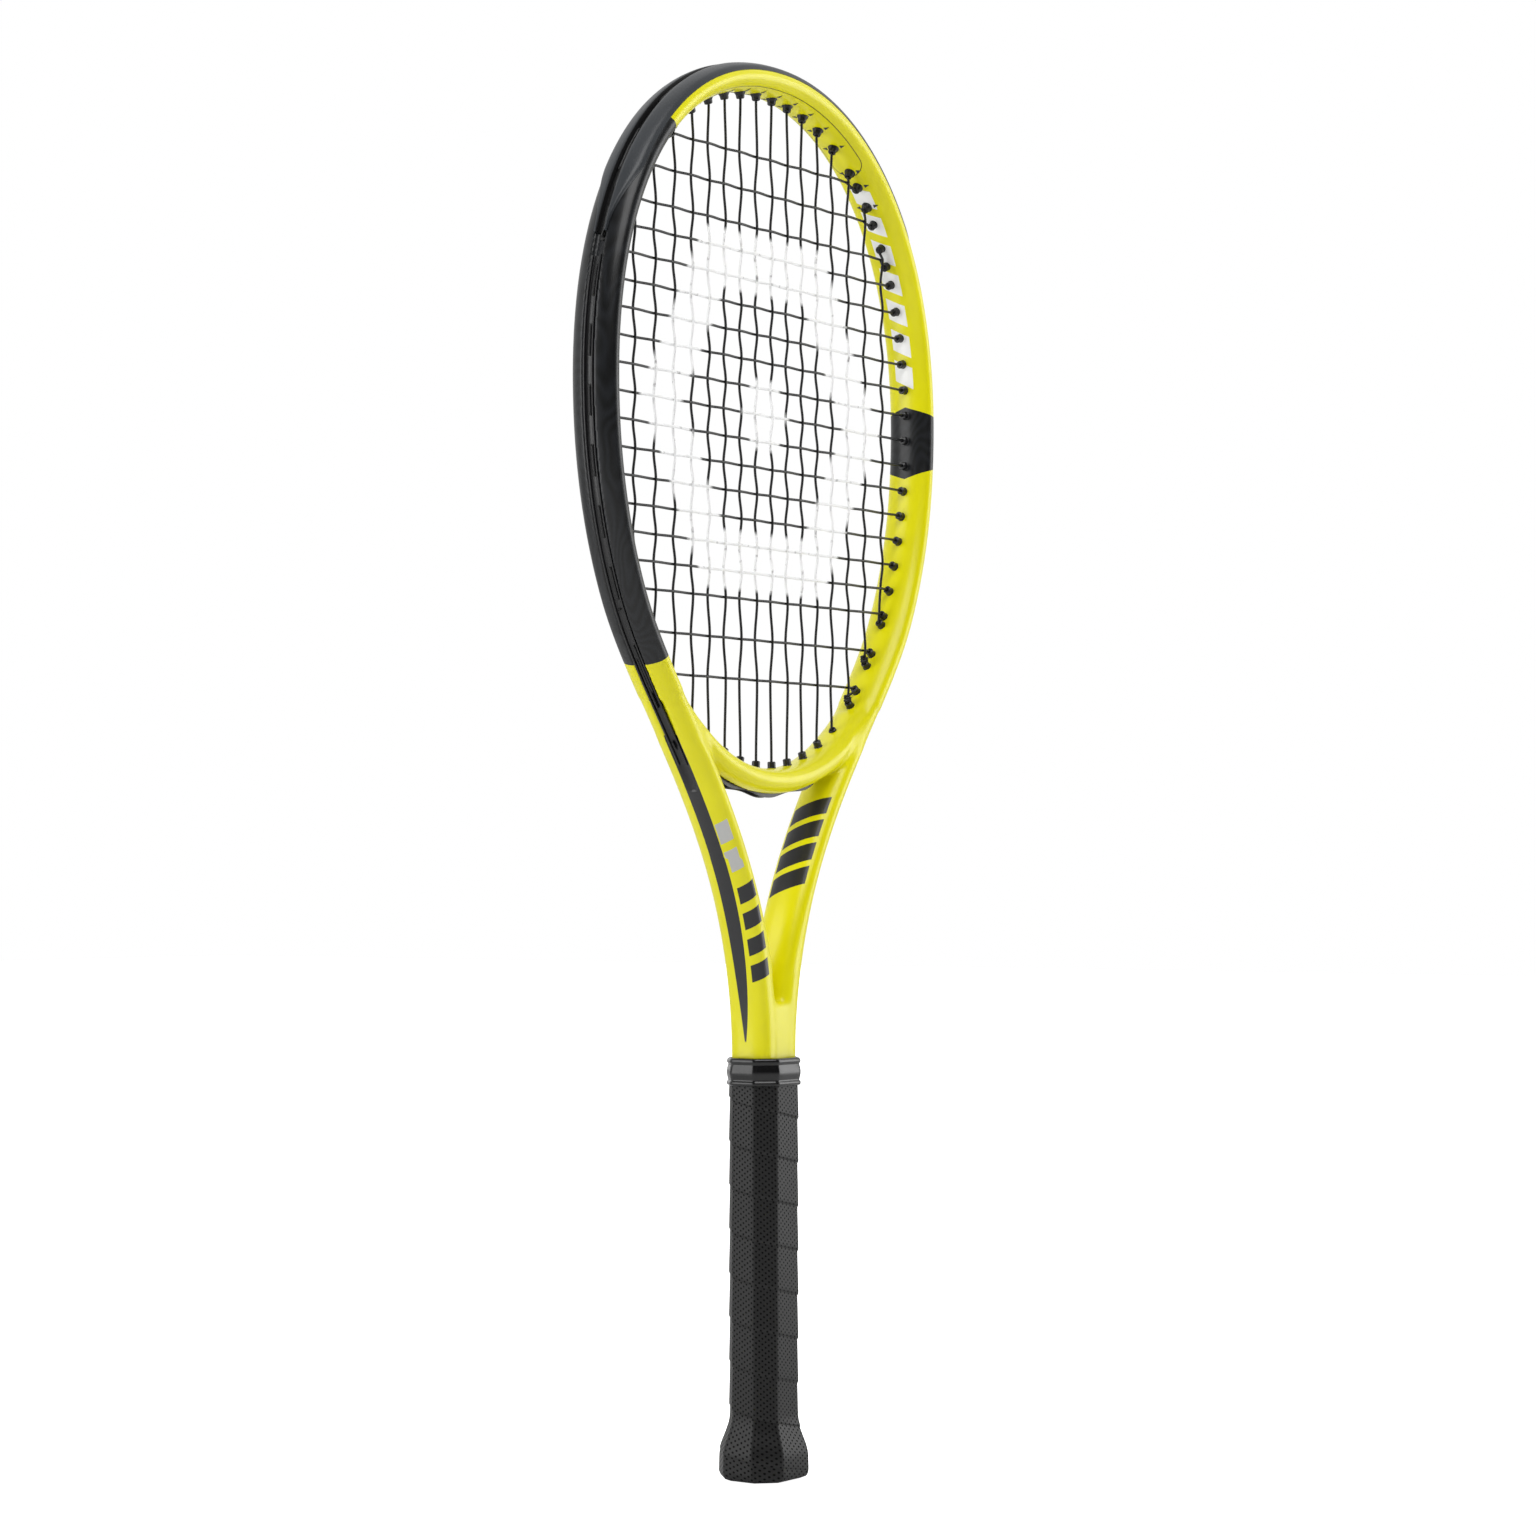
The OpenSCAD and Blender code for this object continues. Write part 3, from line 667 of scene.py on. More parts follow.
def plastic_material(name, colour, light, rough, shine=0.5, scale=420, depth=0.0003):
    """Moulded plastic: fine pebbled skin, faint flow marks and uneven gloss."""
    nodes = Nodes(name)
    mottle = nodes.noise(60, 4)
    pebble = nodes.noise(scale, 3, 0.6)
    fine = nodes.noise(scale * 5, 2)
    normal = nodes.bump(fine, 0.10, depth * 0.4, nodes.bump(pebble, 0.16, depth))
    return nodes.set(
        Base_Color=nodes.blend(mottle, colour, light), Roughness=nodes.spread(pebble, rough, rough + 0.14),
        Normal=normal, Specular_IOR_Level=shine,
    )


def bumper_material():
    """Slate-grey nylon, scuffed a little along its crown, with painted shade: the floor of its slotted
    channel is coloured near black.
    """
    nodes = Nodes("bumper_nylon")
    mottle = nodes.noise(45, 5)
    pebble = nodes.noise(700, 3)
    scuffs = nodes.above(nodes.noise(320, 6, 0.7, nodes.stretched((1, 9, 1))), 0.66, 0.05)
    # Painted shade: the recessed channel along the crown is darkened to near black.
    channel_floor_shade = nodes.between(nodes.axis("Y"), -0.0025, 0.0025, 0.0003)
    colour = nodes.blend(mottle, srgb(44, 47, 50), srgb(56, 59, 63))
    colour = nodes.blend(nodes.math("MULTIPLY", scuffs, 0.25), colour, srgb(104, 107, 111))
    # Painted shade on the channel floor.
    colour = nodes.blend(channel_floor_shade, colour, srgb(12, 12, 13))
    normal = nodes.bump(pebble, 0.14, 0.0003)
    return nodes.set(Base_Color=colour, Roughness=nodes.spread(mottle, 0.34, 0.48), Normal=normal,
                     Specular_IOR_Level=0.4)


def string_material():
    """Black monofilament with a fine spiral texture, painted lighter on its crests as a highlight, and a
    white stencil on the middle of the bed.
    """
    nodes = Nodes("string_monofilament")
    x = nodes.axis("X")
    z = nodes.axis("Z")
    stencil = hex_ring(nodes, x, z, CENTRE_CROSS_Z * MM, STENCIL_RING[1], STENCIL_RING[0])
    dot = hex_ring(nodes, x, z, CENTRE_CROSS_Z * MM, STENCIL_DOT, -STENCIL_BLUR)
    patchy = nodes.above(nodes.noise(260, 4), 0.30, 0.12)
    run = nodes.math("MULTIPLY", nodes.attribute("length"), 5200.0)
    twist = nodes.math("SINE", nodes.math("ADD", run, nodes.attribute("turn")))
    # Painted highlight: the black is coloured lighter on the crests of the spiral twist.
    colour = nodes.blend(nodes.spread(twist, 0.3, 0.7), srgb(12, 12, 13), srgb(30, 30, 31))
    paint = nodes.both(nodes.either(stencil, dot), patchy)
    colour = nodes.blend(paint, colour, srgb(236, 236, 236))
    normal = nodes.bump(twist, 0.3, 0.00006)
    rough = nodes.math("ADD", 0.34, nodes.math("MULTIPLY", paint, 0.35))
    return nodes.set(Base_Color=colour, Roughness=rough, Normal=normal, Specular_IOR_Level=0.35)


def grip_material():
    """Perforated synthetic leather: staggered pin holes that run with the strip, on a fine grain, with
    painted shade in the holes and along each turn's lapped lower edge.
    """
    nodes = Nodes("grip_leather")
    strip = nodes.attribute("strip_run")
    rise = nodes.attribute("strip_rise")
    row_pitch = 0.00135
    hole_pitch = 0.0032
    row = nodes.math("DIVIDE", rise, row_pitch)
    odd = nodes.math("MODULO", nodes.math("FLOOR", row), 2.0)
    run = nodes.math("ADD", nodes.math("DIVIDE", strip, hole_pitch), nodes.math("MULTIPLY", odd, 0.5))
    across = nodes.math("MULTIPLY", nodes.math("SUBTRACT", nodes.math("FRACT", run), 0.5), hole_pitch)
    up = nodes.math("MULTIPLY", nodes.math("SUBTRACT", nodes.math("FRACT", row), 0.5), row_pitch)
    distance = nodes.math("SQRT", nodes.math("ADD", nodes.math("MULTIPLY", across, across),
                                             nodes.math("MULTIPLY", up, up)))
    holes = nodes.below(distance, 0.00048, 0.00014)
    leather = nodes.noise(1500, 3, 0.6)
    cells = nodes.cells(900, "DISTANCE_TO_EDGE")
    mottle = nodes.noise(32, 4)
    edge = nodes.attribute("strip_edge_shade")
    colour = nodes.blend(mottle, srgb(22, 22, 22), srgb(30, 30, 30))
    # Painted shade: darker along each turn's lower edge, in the seam where it laps the turn below.
    colour = nodes.blend(nodes.math("MULTIPLY", edge, 0.5), colour, srgb(12, 12, 12))
    # Painted shade: the pin holes are coloured near black for the shade inside them.
    colour = nodes.blend(holes, colour, srgb(3, 3, 3))
    pits = nodes.bump(nodes.math("SUBTRACT", 1.0, holes), 0.7, 0.00025)
    grain = nodes.bump(cells, 0.25, 0.0001, pits)
    normal = nodes.bump(leather, 0.2, 0.00012, grain)
    skin = nodes.math("MULTIPLY", nodes.math("SUBTRACT", 1.0, holes), nodes.spread(leather, 0.42, 0.66))
    return nodes.set(Base_Color=colour, Roughness=nodes.spread(leather, 0.6, 0.75), Normal=normal,
                     Specular_IOR_Level=0.05, Coat_Weight=skin, Coat_Roughness=0.40)


def foam_material(name, colour, light, scale):
    """Open-cell foam: small pits of two sizes."""
    nodes = Nodes(name)
    mottle = nodes.noise(50, 5)
    normal = nodes.bump(nodes.cells(scale), 0.6, 0.0005)
    return nodes.set(Base_Color=nodes.blend(mottle, colour, light), Roughness=0.85, Normal=normal)


def tape_material(name, colour, light, rough):
    """Tape: fine threads across and along, with faint creases."""
    nodes = Nodes(name)
    threads = nodes.math("SINE", nodes.math("MULTIPLY", nodes.axis("Z"), 9000.0))
    crease = nodes.noise(140, 5)
    normal = nodes.bump(threads, 0.15, 0.00008, nodes.bump(crease, 0.3, 0.0002))
    return nodes.set(Base_Color=nodes.blend(crease, colour, light), Roughness=rough, Normal=normal)


def steel_material():
    """Bright drawn wire."""
    nodes = Nodes("staple_wire")
    lines = nodes.noise(3000, 2, 0.5, nodes.stretched((0.1, 1, 1)))
    colour = nodes.blend(lines, srgb(168, 168, 170), srgb(205, 205, 206))
    return nodes.set(Base_Color=colour, Metallic=1.0, Roughness=nodes.spread(lines, 0.22, 0.38),
                     Normal=nodes.bump(lines, 0.1, 0.00005))


# ---- Frame shell: both limbs, the bridge and the web, run together with fillets ----

SECTION_POINTS = 72
LIMB_STEP = 1.0
VOXEL = 0.85
# How far the web's faces lie below the shafts' faces.
WEB_SINK = 0.15
# Points above this height are never measured against the bridge.
BRIDGE_REACH_Z = 420
# Past both ends of the bridge's span, in degrees, its oval still counts.
BRIDGE_SPARE = 4
FAR_OFF = 9.0
# A crease is smoothed where a point is this near to both ovals, as a share of their size.
CREASE_REACH = 0.4
CREASE_GAIN = 1.6
CREASE_ROUNDS = 60
# The web between the shafts is smoothed whole, from this far inside their centre lines.
WEB_SMOOTH_Z = (196, 246)
WEB_INSET = 1.5
# A point this near to its oval, as a share of its size, is trued up onto it, but less near a crease.
TRUE_BAND = 0.14
CREASE_FREE = 2.2
LEAST_FIT = 0.3
# A point this far off its limb belongs to the bridge.
ON_BRIDGE = 1.35
GROOVE_EDGE = 0.75
LINE_STEP = 0.5


def limb_section(size, groove):
    """Points [outward, back] around the tube, with the groove's floor where it has one."""
    half = GROOVE_W / 2
    start = edge_angle(size, half)
    angles = np.linspace(start, 2 * math.pi - start, SECTION_POINTS - 4)
    floor = surface_u(size, half) - groove * GROOVE_DEPTH
    low = half * GROOVE_TAPER
    return [oval(size, a) for a in angles] + [np.array([floor, y]) for y in np.linspace(-low, low, 4)]


def limb_rings():
    rings = []
    for t in np.arange(0, LEAVE_ANGLE + CURVE_TURN + LIMB_STEP / 2, LIMB_STEP):
        centre, direction = limb_place(t)
        size = tube_size(centre[1])
        groove = np.clip((centre[1] - GROOVE_END_Z) / GROOVE_FADE + 1, 0, 1)
        rings.append([place(centre, direction, u, y) for u, y in limb_section(size, groove)])
    for z in (LEG_TOP_Z, LEG_BOTTOM_Z):
        leg = np.array([LEG_X, z])
        rings.append([place(leg, np.array([0, -1]), u, y) for u, y in limb_section(LEG_SIZE, 0)])
    return rings


def bridge_rings():
    section = limb_section(BRIDGE_SIZE, 1)
    angles = np.arange(BRIDGE_ANGLE, 360 - BRIDGE_ANGLE + 0.5, 1.0)
    return [[place(hoop_point(t), hoop_dir(t), u, y) for u, y in section] for t in angles]


def curve_x(z):
    """How far out the right limb's centre line is, low down where it comes into the shaft."""
    places = np.array([curve_point(s) for s in np.linspace(1, 0.4, 60)])
    return float(np.interp(z, places[:, 1], places[:, 0]))


def web_rings():
    """Level rings of the web, from its foot up to the notch in the crotch."""
    rings = []
    half_depth = SHAFT_DEPTH / 2 - WEB_SINK
    for z in np.linspace(WEB_BOTTOM_Z, CROTCH_Z, 10):
        half = curve_x(z) - SHAFT_HALF_W + WEB_OVERLAP
        rings.append([
            np.array([x, y, z]) for x, y in
            ((half, -half_depth), (half, half_depth), (-half, half_depth), (-half, -half_depth))
        ])
    return rings


def limb_coordinates(points):
    """For each point: how far along its limb it is, how far out, and the centre and normal there."""
    line_t = np.arange(0, LEAVE_ANGLE + CURVE_TURN, LINE_STEP)
    places = [limb_place(t) for t in line_t]
    line = np.array([p for p, _ in places])
    dirs = np.array([d for _, d in places])
    arc = np.concatenate([[0], np.cumsum(np.linalg.norm(np.diff(line, axis=0), axis=1))])
    flat = np.stack([np.abs(points[:, 0]), points[:, 2]], 1)
    nearest = np.empty(len(flat), int)
    batch = 20000
    for first in range(0, len(flat), batch):
        gap = ((flat[first:first + batch, None, :] - line[None]) ** 2).sum(2)
        nearest[first:first + batch] = gap.argmin(1)
    along = arc[nearest] + ((flat - line[nearest]) * dirs[nearest]).sum(1)
    where = np.interp(along, arc, np.arange(len(arc)))
    low = np.clip(where.astype(int), 0, len(arc) - 2)
    share = np.clip(where - low, 0, 1)[:, None]
    centre = mix(line[low], line[low + 1], share)
    heading = mix(dirs[low], dirs[low + 1], share)
    heading /= np.linalg.norm(heading, axis=1)[:, None]
    normal = np.stack([-heading[:, 1], heading[:, 0]], 1)
    out = ((flat - centre) * normal).sum(1)
    side = np.stack([np.where(points[:, 0] < 0, -1.0, 1.0), np.ones(len(points))], 1)
    return along, out, centre * side, normal * side


def around_distance(out, back, size):
    """Distance around the tube from the middle of its inner side towards the front, and half way round."""
    angle = np.arctan2(-back / size[0], -out / size[1])
    half_depth, half_width, roundness = (s.mean() for s in size)
    grid = np.linspace(0, math.pi, 181)
    walk_u = half_width * signed_pow(np.cos(grid), 2 / roundness)
    walk_y = half_depth * signed_pow(np.sin(grid), 2 / roundness)
    steps = np.concatenate([[0], np.cumsum(np.hypot(np.diff(walk_u), np.diff(walk_y)))])
    seen = np.arctan2(walk_y / half_depth, walk_u / half_width)
    return np.sign(angle) * np.interp(np.abs(angle), seen, steps), steps[-1]


def excess(out, back, size):
    """1 on the tube's oval, less inside it and more outside."""
    return (np.abs(out / size[1]) ** size[2] + np.abs(back / size[0]) ** size[2]) ** (1 / size[2])


def bridge_coordinates(points):
    """For each point: its angle on the hoop, how far out it is, and the bridge's centre and normal there."""
    first = BRIDGE_ANGLE - 2 * BRIDGE_SPARE
    line_t = np.arange(first, 360 - first + LINE_STEP, LINE_STEP)
    line = np.array([hoop_point(t) for t in line_t])
    dirs = np.array([hoop_dir(t) for t in line_t])
    flat = points[:, [0, 2]]
    nearest = ((flat[:, None, :] - line[None]) ** 2).sum(2).argmin(1)
    heading = dirs[nearest]
    offset = flat - line[nearest]
    centre = line[nearest] + (offset * heading).sum(1)[:, None] * heading
    normal = np.stack([-heading[:, 1], heading[:, 0]], 1)
    return line_t[nearest], (offset * normal).sum(1), centre, normal


def limb_fit(points):
    """How each point lies to its limb's oval, and how far out of the centre line it is."""
    _, out, centre, _ = limb_coordinates(points)
    return excess(out, points[:, 1], tube_size(centre[:, 1])), out


def bridge_fit(points):
    """The same for the bridge. Points away from its span are far off it."""
    fit = np.full(len(points), FAR_OFF)
    out = np.zeros(len(points))
    near = points[:, 2] < BRIDGE_REACH_Z
    t, out[near], _, _ = bridge_coordinates(points[near])
    on_span = np.abs(t - 180) < 180 - BRIDGE_ANGLE + BRIDGE_SPARE
    fit[near] = np.where(on_span, excess(out[near], points[near, 1], BRIDGE_SIZE), FAR_OFF)
    return fit, out


def crease_weights(points, limb, limb_out, bridge):
    """1 where the limb and the bridge meet, fading out from there, and 1 all over the web."""
    gap = np.abs(limb - 1) + np.abs(bridge - 1)
    crease = np.exp(-(gap / CREASE_REACH) ** 2)
    low, high = WEB_SMOOTH_Z
    web = (points[:, 2] > low) & (points[:, 2] < high) & (limb_out < -WEB_INSET)
    crease[web] = np.maximum(crease[web], smooth_step((-WEB_INSET - limb_out[web]) / WEB_INSET))
    return crease


def smooth_mesh(piece, factor, rounds, group=""):
    smooth = piece.modifiers.new("smooth", "SMOOTH")
    smooth.factor = factor
    smooth.iterations = rounds
    smooth.vertex_group = group
    bake_modifiers(piece)


def round_creases(shell, crease):
    """Turns the creases into fillets, by smoothing that fades out away from them."""
    group = shell.vertex_groups.new(name="crease")
    weights = np.clip(crease * CREASE_GAIN, 0, 1)
    for index in np.nonzero(weights > 0.02)[0]:
        group.add([int(index)], float(weights[index]), "REPLACE")
    smooth_mesh(shell, 0.5, CREASE_ROUNDS, "crease")


def true_up(points, hold, coordinates, size_at):
    """Moves points onto the exact oval of their tube, each by the share that it is held."""
    picked = hold > 0
    held = points[picked]
    _, out, centre, normal = coordinates(held)
    fit = np.maximum(excess(out, held[:, 1], size_at(centre[:, 1])), LEAST_FIT)
    scale = mix(1.0, 1 / fit, hold[picked])
    flat = centre + normal * (out * scale)[:, None]
    points[picked] = np.stack([flat[:, 0], held[:, 1] * scale, flat[:, 1]], 1)


def true_up_shell(shell, crease, limb, limb_out, bridge, bridge_out):
    """Puts the skin back on the tubes' exact ovals, apart from the creases and the groove."""
    points = get_points(shell.data)
    in_groove = np.abs(points[:, 1]) < GROOVE_W / 2 + GROOVE_EDGE
    in_groove &= points[:, 2] > GROOVE_END_Z - GROOVE_FADE - 1
    share = np.clip(1 - crease * CREASE_FREE, 0, 1)
    on_limb = (np.abs(limb - 1) < TRUE_BAND) & ~(in_groove & (limb_out > 2)) & (points[:, 2] > SHAFT_Z + 1)
    on_bridge = (np.abs(bridge - 1) < TRUE_BAND) & ~(in_groove & (bridge_out > 2)) & (limb > 1 + TRUE_BAND)
    true_up(points, share * on_limb, limb_coordinates, tube_size)
    true_up(points, share * on_bridge, bridge_coordinates, lambda z: BRIDGE_SIZE)
    set_points(shell.data, points)
    smooth_mesh(shell, 0.4, 2)


def add_paint_coordinates(shell, limb):
    """Stores how far along and around its limb each point is, for the paint to follow."""
    points = get_points(shell.data)
    along, out, centre, _ = limb_coordinates(points)
    size = tube_size(centre[:, 1])
    around = np.empty(len(points))
    half_walk = np.empty(len(points))
    on_hoop = points[:, 2] > MORPH_Z[1]
    for part in (on_hoop, ~on_hoop):
        part_size = [s[part] for s in size]
        around[part], half_walk[part] = around_distance(out[part], points[part, 1], part_size)
    top_run = np.where(points[:, 0] < 0, -along, along)
    run_gap = np.maximum(np.abs(top_run - INLAY_MIDDLE) - INLAY_HALF_RUN, 0)
    mesh = shell.data
    add_attribute(mesh, "along", along * MM)
    add_attribute(mesh, "around", around * MM)
    add_attribute(mesh, "from_outer", (half_walk - np.abs(around)) * MM)
    add_attribute(mesh, "on_bridge", (limb > ON_BRIDGE).astype(float))
    add_attribute(mesh, "inlay", (np.hypot(run_gap, np.abs(around)) - INLAY_R) * MM)
    mesh.shade_smooth()


def make_shell():
    """Runs the limbs, the bridge and the web into one skin, rounds the creases and trues up the rest."""
    rings = limb_rings()
    left = [mirror_x(r) for r in reversed(rings[1:])]
    tubes = {"limbs": left + rings, "bridge": bridge_rings(), "web": web_rings()}
    shell = join("racket_frame", [fix_normals(sweep(name, tube)) for name, tube in tubes.items()])
    remesh = shell.modifiers.new("run_together", "REMESH")
    remesh.mode = "VOXEL"
    remesh.voxel_size = VOXEL * MM
    bake_modifiers(shell)

    points = get_points(shell.data)
    limb, limb_out = limb_fit(points)
    bridge, bridge_out = bridge_fit(points)
    crease = crease_weights(points, limb, limb_out, bridge)
    round_creases(shell, crease)
    true_up_shell(shell, crease, limb, limb_out, bridge, bridge_out)
    add_paint_coordinates(shell, limb)
    return shell


# ---- Bumper guard, grommet strips and barrels ----


BARREL_SIDES = 24
WING_LIFTS = (-0.5, 0.22)
RING_STEP = 0.75
MOULDED_EDGE = 38
# The bumper guard's edges draw in over its last degrees.
GUARD_FADE = 14
# A side strip ends this far above the groove's end.
STRIP_SPARE = 3
# The throat strip's waves, in degrees and millimetres, and the points of its outline that they move.
LIP_POINTS = (5, 6, 7, 13, 14, 15)
WAVE_TURN = 13.5
WAVE_HALF = 0.9
WAVE_FADE = 2.5


def circle(sides):
    return np.arange(sides) * 2 * math.pi / sides


def hole_frame(t):
    """Middle of the tube, outward direction and the direction along the rim, at a string hole."""
    p, n = rim_point(t), rim_out(t)
    return np.array([p[0], 0, p[1]]), np.array([n[0], 0, n[1]]), np.array([n[1], 0, -n[0]])


def barrel_shape(t, flared):
    """A lathed grommet barrel from the strip to its tip inside the head, with a countersunk end."""
    origin, out, side = hole_frame(t)
    across = np.cross(out, side)
    tip = -RIM_WIDTH / 2 - barrel_reach(t)
    base = -RIM_WIDTH / 2
    root = RIM_WIDTH / 2 - GROOVE_DEPTH + CLEARANCE + STRIP_T / 2
    # Distance along the barrel and radius, from the bottom of the countersink to the strip.
    profile = [(tip + 0.7, 0.0), (tip + 0.6, 0.72), (tip, 1.0), (tip - 0.02, 1.55), (tip + 0.35, BARREL_R)]
    if flared:
        profile += [(base - 1.5, BARREL_R + 0.12), (base - 0.75, BARREL_R + 0.45)]
        profile += [(base - 0.35, BARREL_R + 0.8), (base + 0.3, BARREL_R + 0.85)]
    else:
        profile += [(base - 0.4, BARREL_R), (base - 0.1, BARREL_R + 0.25), (base + 0.6, BARREL_R + 0.25)]
    profile += [(root - 0.2, BARREL_R - 0.1), (root, 0.0)]
    turns = [math.cos(a) * side + math.sin(a) * across for a in circle(BARREL_SIDES)]
    return [[origin + out * u + r * turn for turn in turns] for u, r in profile]


def wing_shape(t, side):
    """A small three-cornered wing that lies on the inner face beside the foot of a flared barrel."""
    origin, out, along = hole_frame(t)
    size = tube_size(rim_point(t)[1])
    corners = ((-WING_HALF_W, WING_FOOT_Y), (WING_HALF_W, WING_FOOT_Y), (0.0, WING_TIP_Y))

    def corner(shift, back, lift):
        return origin - out * (surface_u(size, back) + lift) + along * shift + np.array([0, side * back, 0])

    return [[corner(shift, back, lift) for shift, back in corners] for lift in WING_LIFTS]


def add_barrels(name, angles, flared_from_top):
    """Barrels at the given angles. Those near the top are flared and have a wing on each side."""
    pieces = []
    for t in angles:
        flared = from_top(t) < flared_from_top
        pieces.append(sweep(name + "_barrel", barrel_shape(t, flared)))
        if flared:
            pieces += [sweep(name + "_wing", wing_shape(t, side)) for side in (-1, 1)]
    return pieces


def mirrored(half, middle):
    """An outline's stretch that goes from y > 0 through a middle point to the same stretch at y < 0."""
    return half + [middle] + [(u, -y) for u, y in reversed(half)]


def channel(size):
    """Outline of a grommet strip in the groove, outer side last, with softened lips."""
    half = GROOVE_W / 2 - CLEARANCE
    base = surface_u(size, half) - GROOVE_DEPTH + STRIP_LIFT
    top = surface_u(size, half) - 0.02
    floor = base + STRIP_T
    under = [(top, half), (base, half * GROOVE_TAPER)]
    lip = [(top + 0.12, half - 0.2), (top + 0.1, half - STRIP_WALL * 0.75), (top - 0.1, half - STRIP_WALL),
           (floor + 0.2, half - STRIP_WALL - 0.1), (floor, half - STRIP_WALL - 0.4)]
    return mirrored(under, (base, 0)) + mirrored(lip, (floor, 0))[::-1]


def bumper_outline(size, wing):
    """Outline of the bumper guard: a slotted crown, and wings that thin out to their edges."""
    half = GROOVE_W / 2 - CLEARANCE
    side = surface_u(size, half)
    base = side - GROOVE_DEPTH + STRIP_LIFT
    floor = base + STRIP_T
    start = edge_angle(size, half)
    reach = edge_angle(size, mix(half + 0.6, GUARD_EDGE_Y, wing))
    grid = np.linspace(reach, start, 12)

    def lifted(a, lift):
        slope = oval(size, a + 0.01) - oval(size, a - 0.01)
        return oval(size, a) + unit([slope[1], -slope[0]]) * lift

    def thickness(k):
        return BUMPER_T * (0.18 + 0.82 * smooth_step(k / 4))

    under = [lifted(a, CLEARANCE) for a in grid] + [(base, half * GROOVE_TAPER)]
    over = [lifted(a, thickness(k)) for k, a in enumerate(grid)]
    over += [(side + BUMPER_T * 0.8, half - 0.5), (side, half - STRIP_WALL), (floor, half - STRIP_WALL - 0.3)]
    return mirrored(under, (base, 0)) + mirrored(over, (floor, 0))[::-1]


def rings_along(first, last, outline):
    """An outline, given at each angle as (outward, back), swept along the hoop. Below 0 it is mirrored."""
    rings = []
    for t in np.linspace(first, last, int(round((last - first) / RING_STEP)) + 1):
        ring = [place(*limb_place(abs(t)), u, y) for u, y in outline(abs(t))]
        rings.append(mirror_x(ring) if t < 0 else ring)
    return rings


def make_moulding(name, rings, angles, flared_from_top, material, slot, node):
    """A swept strip and its barrels, as one piece."""
    piece = join(name, [sweep(name + "_body", rings)] + add_barrels(name, angles, flared_from_top))
    sharp_edges(fix_normals(piece), MOULDED_EDGE)
    finish_piece(piece, "racket", material, slot, node)


def make_bumper(material):
    def outline(t):
        return bumper_outline(tube_size(hoop_point(t)[1]), smooth_step((BUMPER_END - t) / GUARD_FADE))

    rings = rings_along(-BUMPER_END, BUMPER_END, outline)
    angles = [t for t in HOLES if from_top(t) < BUMPER_SPLIT]
    make_moulding("bumper_guard_moulding", rings, angles, FLARED_END, material, "bumper", "bumper_guard")


def make_side_strip(side, name, material):
    def outline(t):
        return channel(tube_size(limb_place(t)[0][1]))

    last = LEAVE_ANGLE + 0.42 * CURVE_TURN
    while limb_place(last)[0][1] < GROOVE_END_Z + STRIP_SPARE:
        last -= 0.5
    rings = rings_along(STRIP_START, last, outline)
    angles = [t for t in HOLES if BUMPER_SPLIT < t < SIDE_HOLES_END]
    if side < 0:
        rings = [mirror_x(r) for r in rings]
        angles = [360 - t for t in angles]
    node = "side_grommet_strip_" + name
    make_moulding("grommet_strip_" + name, rings, angles, 0, material, "grommet", node)


def make_throat_strip(material):
    """The strip below the bridge swells between its holes, so its lower edge waves."""
    rings = []
    for t in np.linspace(180 - THROAT_STRIP_HALF, 180 + THROAT_STRIP_HALF, 90):
        wave = WAVE_HALF * (1 + math.cos(math.radians((t - 180) * 360 / WAVE_TURN)))
        swell = wave * smooth_step((THROAT_STRIP_HALF - abs(t - 180)) / WAVE_FADE)
        outline = channel(BRIDGE_SIZE)
        for k in LIP_POINTS:
            outline[k] = (outline[k][0] + swell, outline[k][1])
        rings.append([place(hoop_point(t), hoop_dir(t), u, y) for u, y in outline])
    angles = [t for t in HOLES if abs(t - 180) < 180 - SIDE_HOLES_END]
    make_moulding("grommet_strip_throat", rings, angles, 0, material, "grommet", "throat_grommet_strip")


# ---- Strings ----


EASE_STEPS = 8
STRING_SIDES = 12
KNOT_SIDES = 10
# The mains that have a knot, counted from 0 at the left, and how each knot's tail leans.
KNOTS = {13: (0.75, -0.5, 0.45), 14: (-0.6, -0.55, 0.5)}
KNOT_TURNS = 2.6
COIL_R = 1.35
COIL_RISE = (0.2, 3.1)
TAIL_RUN = (0.6, 4.6)


def in_space(p, y=0.0):
    """A point of the plane of the bed, (x, z), in space."""
    return np.array([p[0], y, p[1]])


def in_groove(t, y):
    return in_space(groove_point(t, STRING_LIFT), y)


def meets(i, j):
    """Whether a main and a cross really cross inside the head."""
    return (tip_point(CROSS_RIGHT[j])[0] > abs(main_x(i)) + LEAST_CROSSING
            and tip_point(MAIN_TOP[i])[1] > cross_z(j) + LEAST_CROSSING
            and tip_point(MAIN_BOTTOM[i])[1] < cross_z(j) - LEAST_CROSSING)


def main_side(i, j):
    """1 where the main passes behind the cross, -1 where it passes in front."""
    return 1 if (i + j) % 2 == 0 else -1


def main_run(i):
    crossings = [np.array([main_x(i), WEAVE * main_side(i, j), cross_z(j)])
                 for j in range(CROSS_COUNT - 1, -1, -1) if meets(i, j)]
    return ([in_groove(MAIN_BOTTOM[i], SIDE_BY_SIDE), in_space(tip_point(MAIN_BOTTOM[i]))] + crossings
            + [in_space(tip_point(MAIN_TOP[i])), in_groove(MAIN_TOP[i], SIDE_BY_SIDE)])


def cross_run(j):
    crossings = [np.array([main_x(i), -WEAVE * main_side(i, j), cross_z(j)])
                 for i in range(MAIN_COUNT) if meets(i, j)]
    return ([in_groove(CROSS_LEFT[j], -SIDE_BY_SIDE), in_space(tip_point(CROSS_LEFT[j]))] + crossings
            + [in_space(tip_point(CROSS_RIGHT[j])), in_groove(CROSS_RIGHT[j], -SIDE_BY_SIDE)])


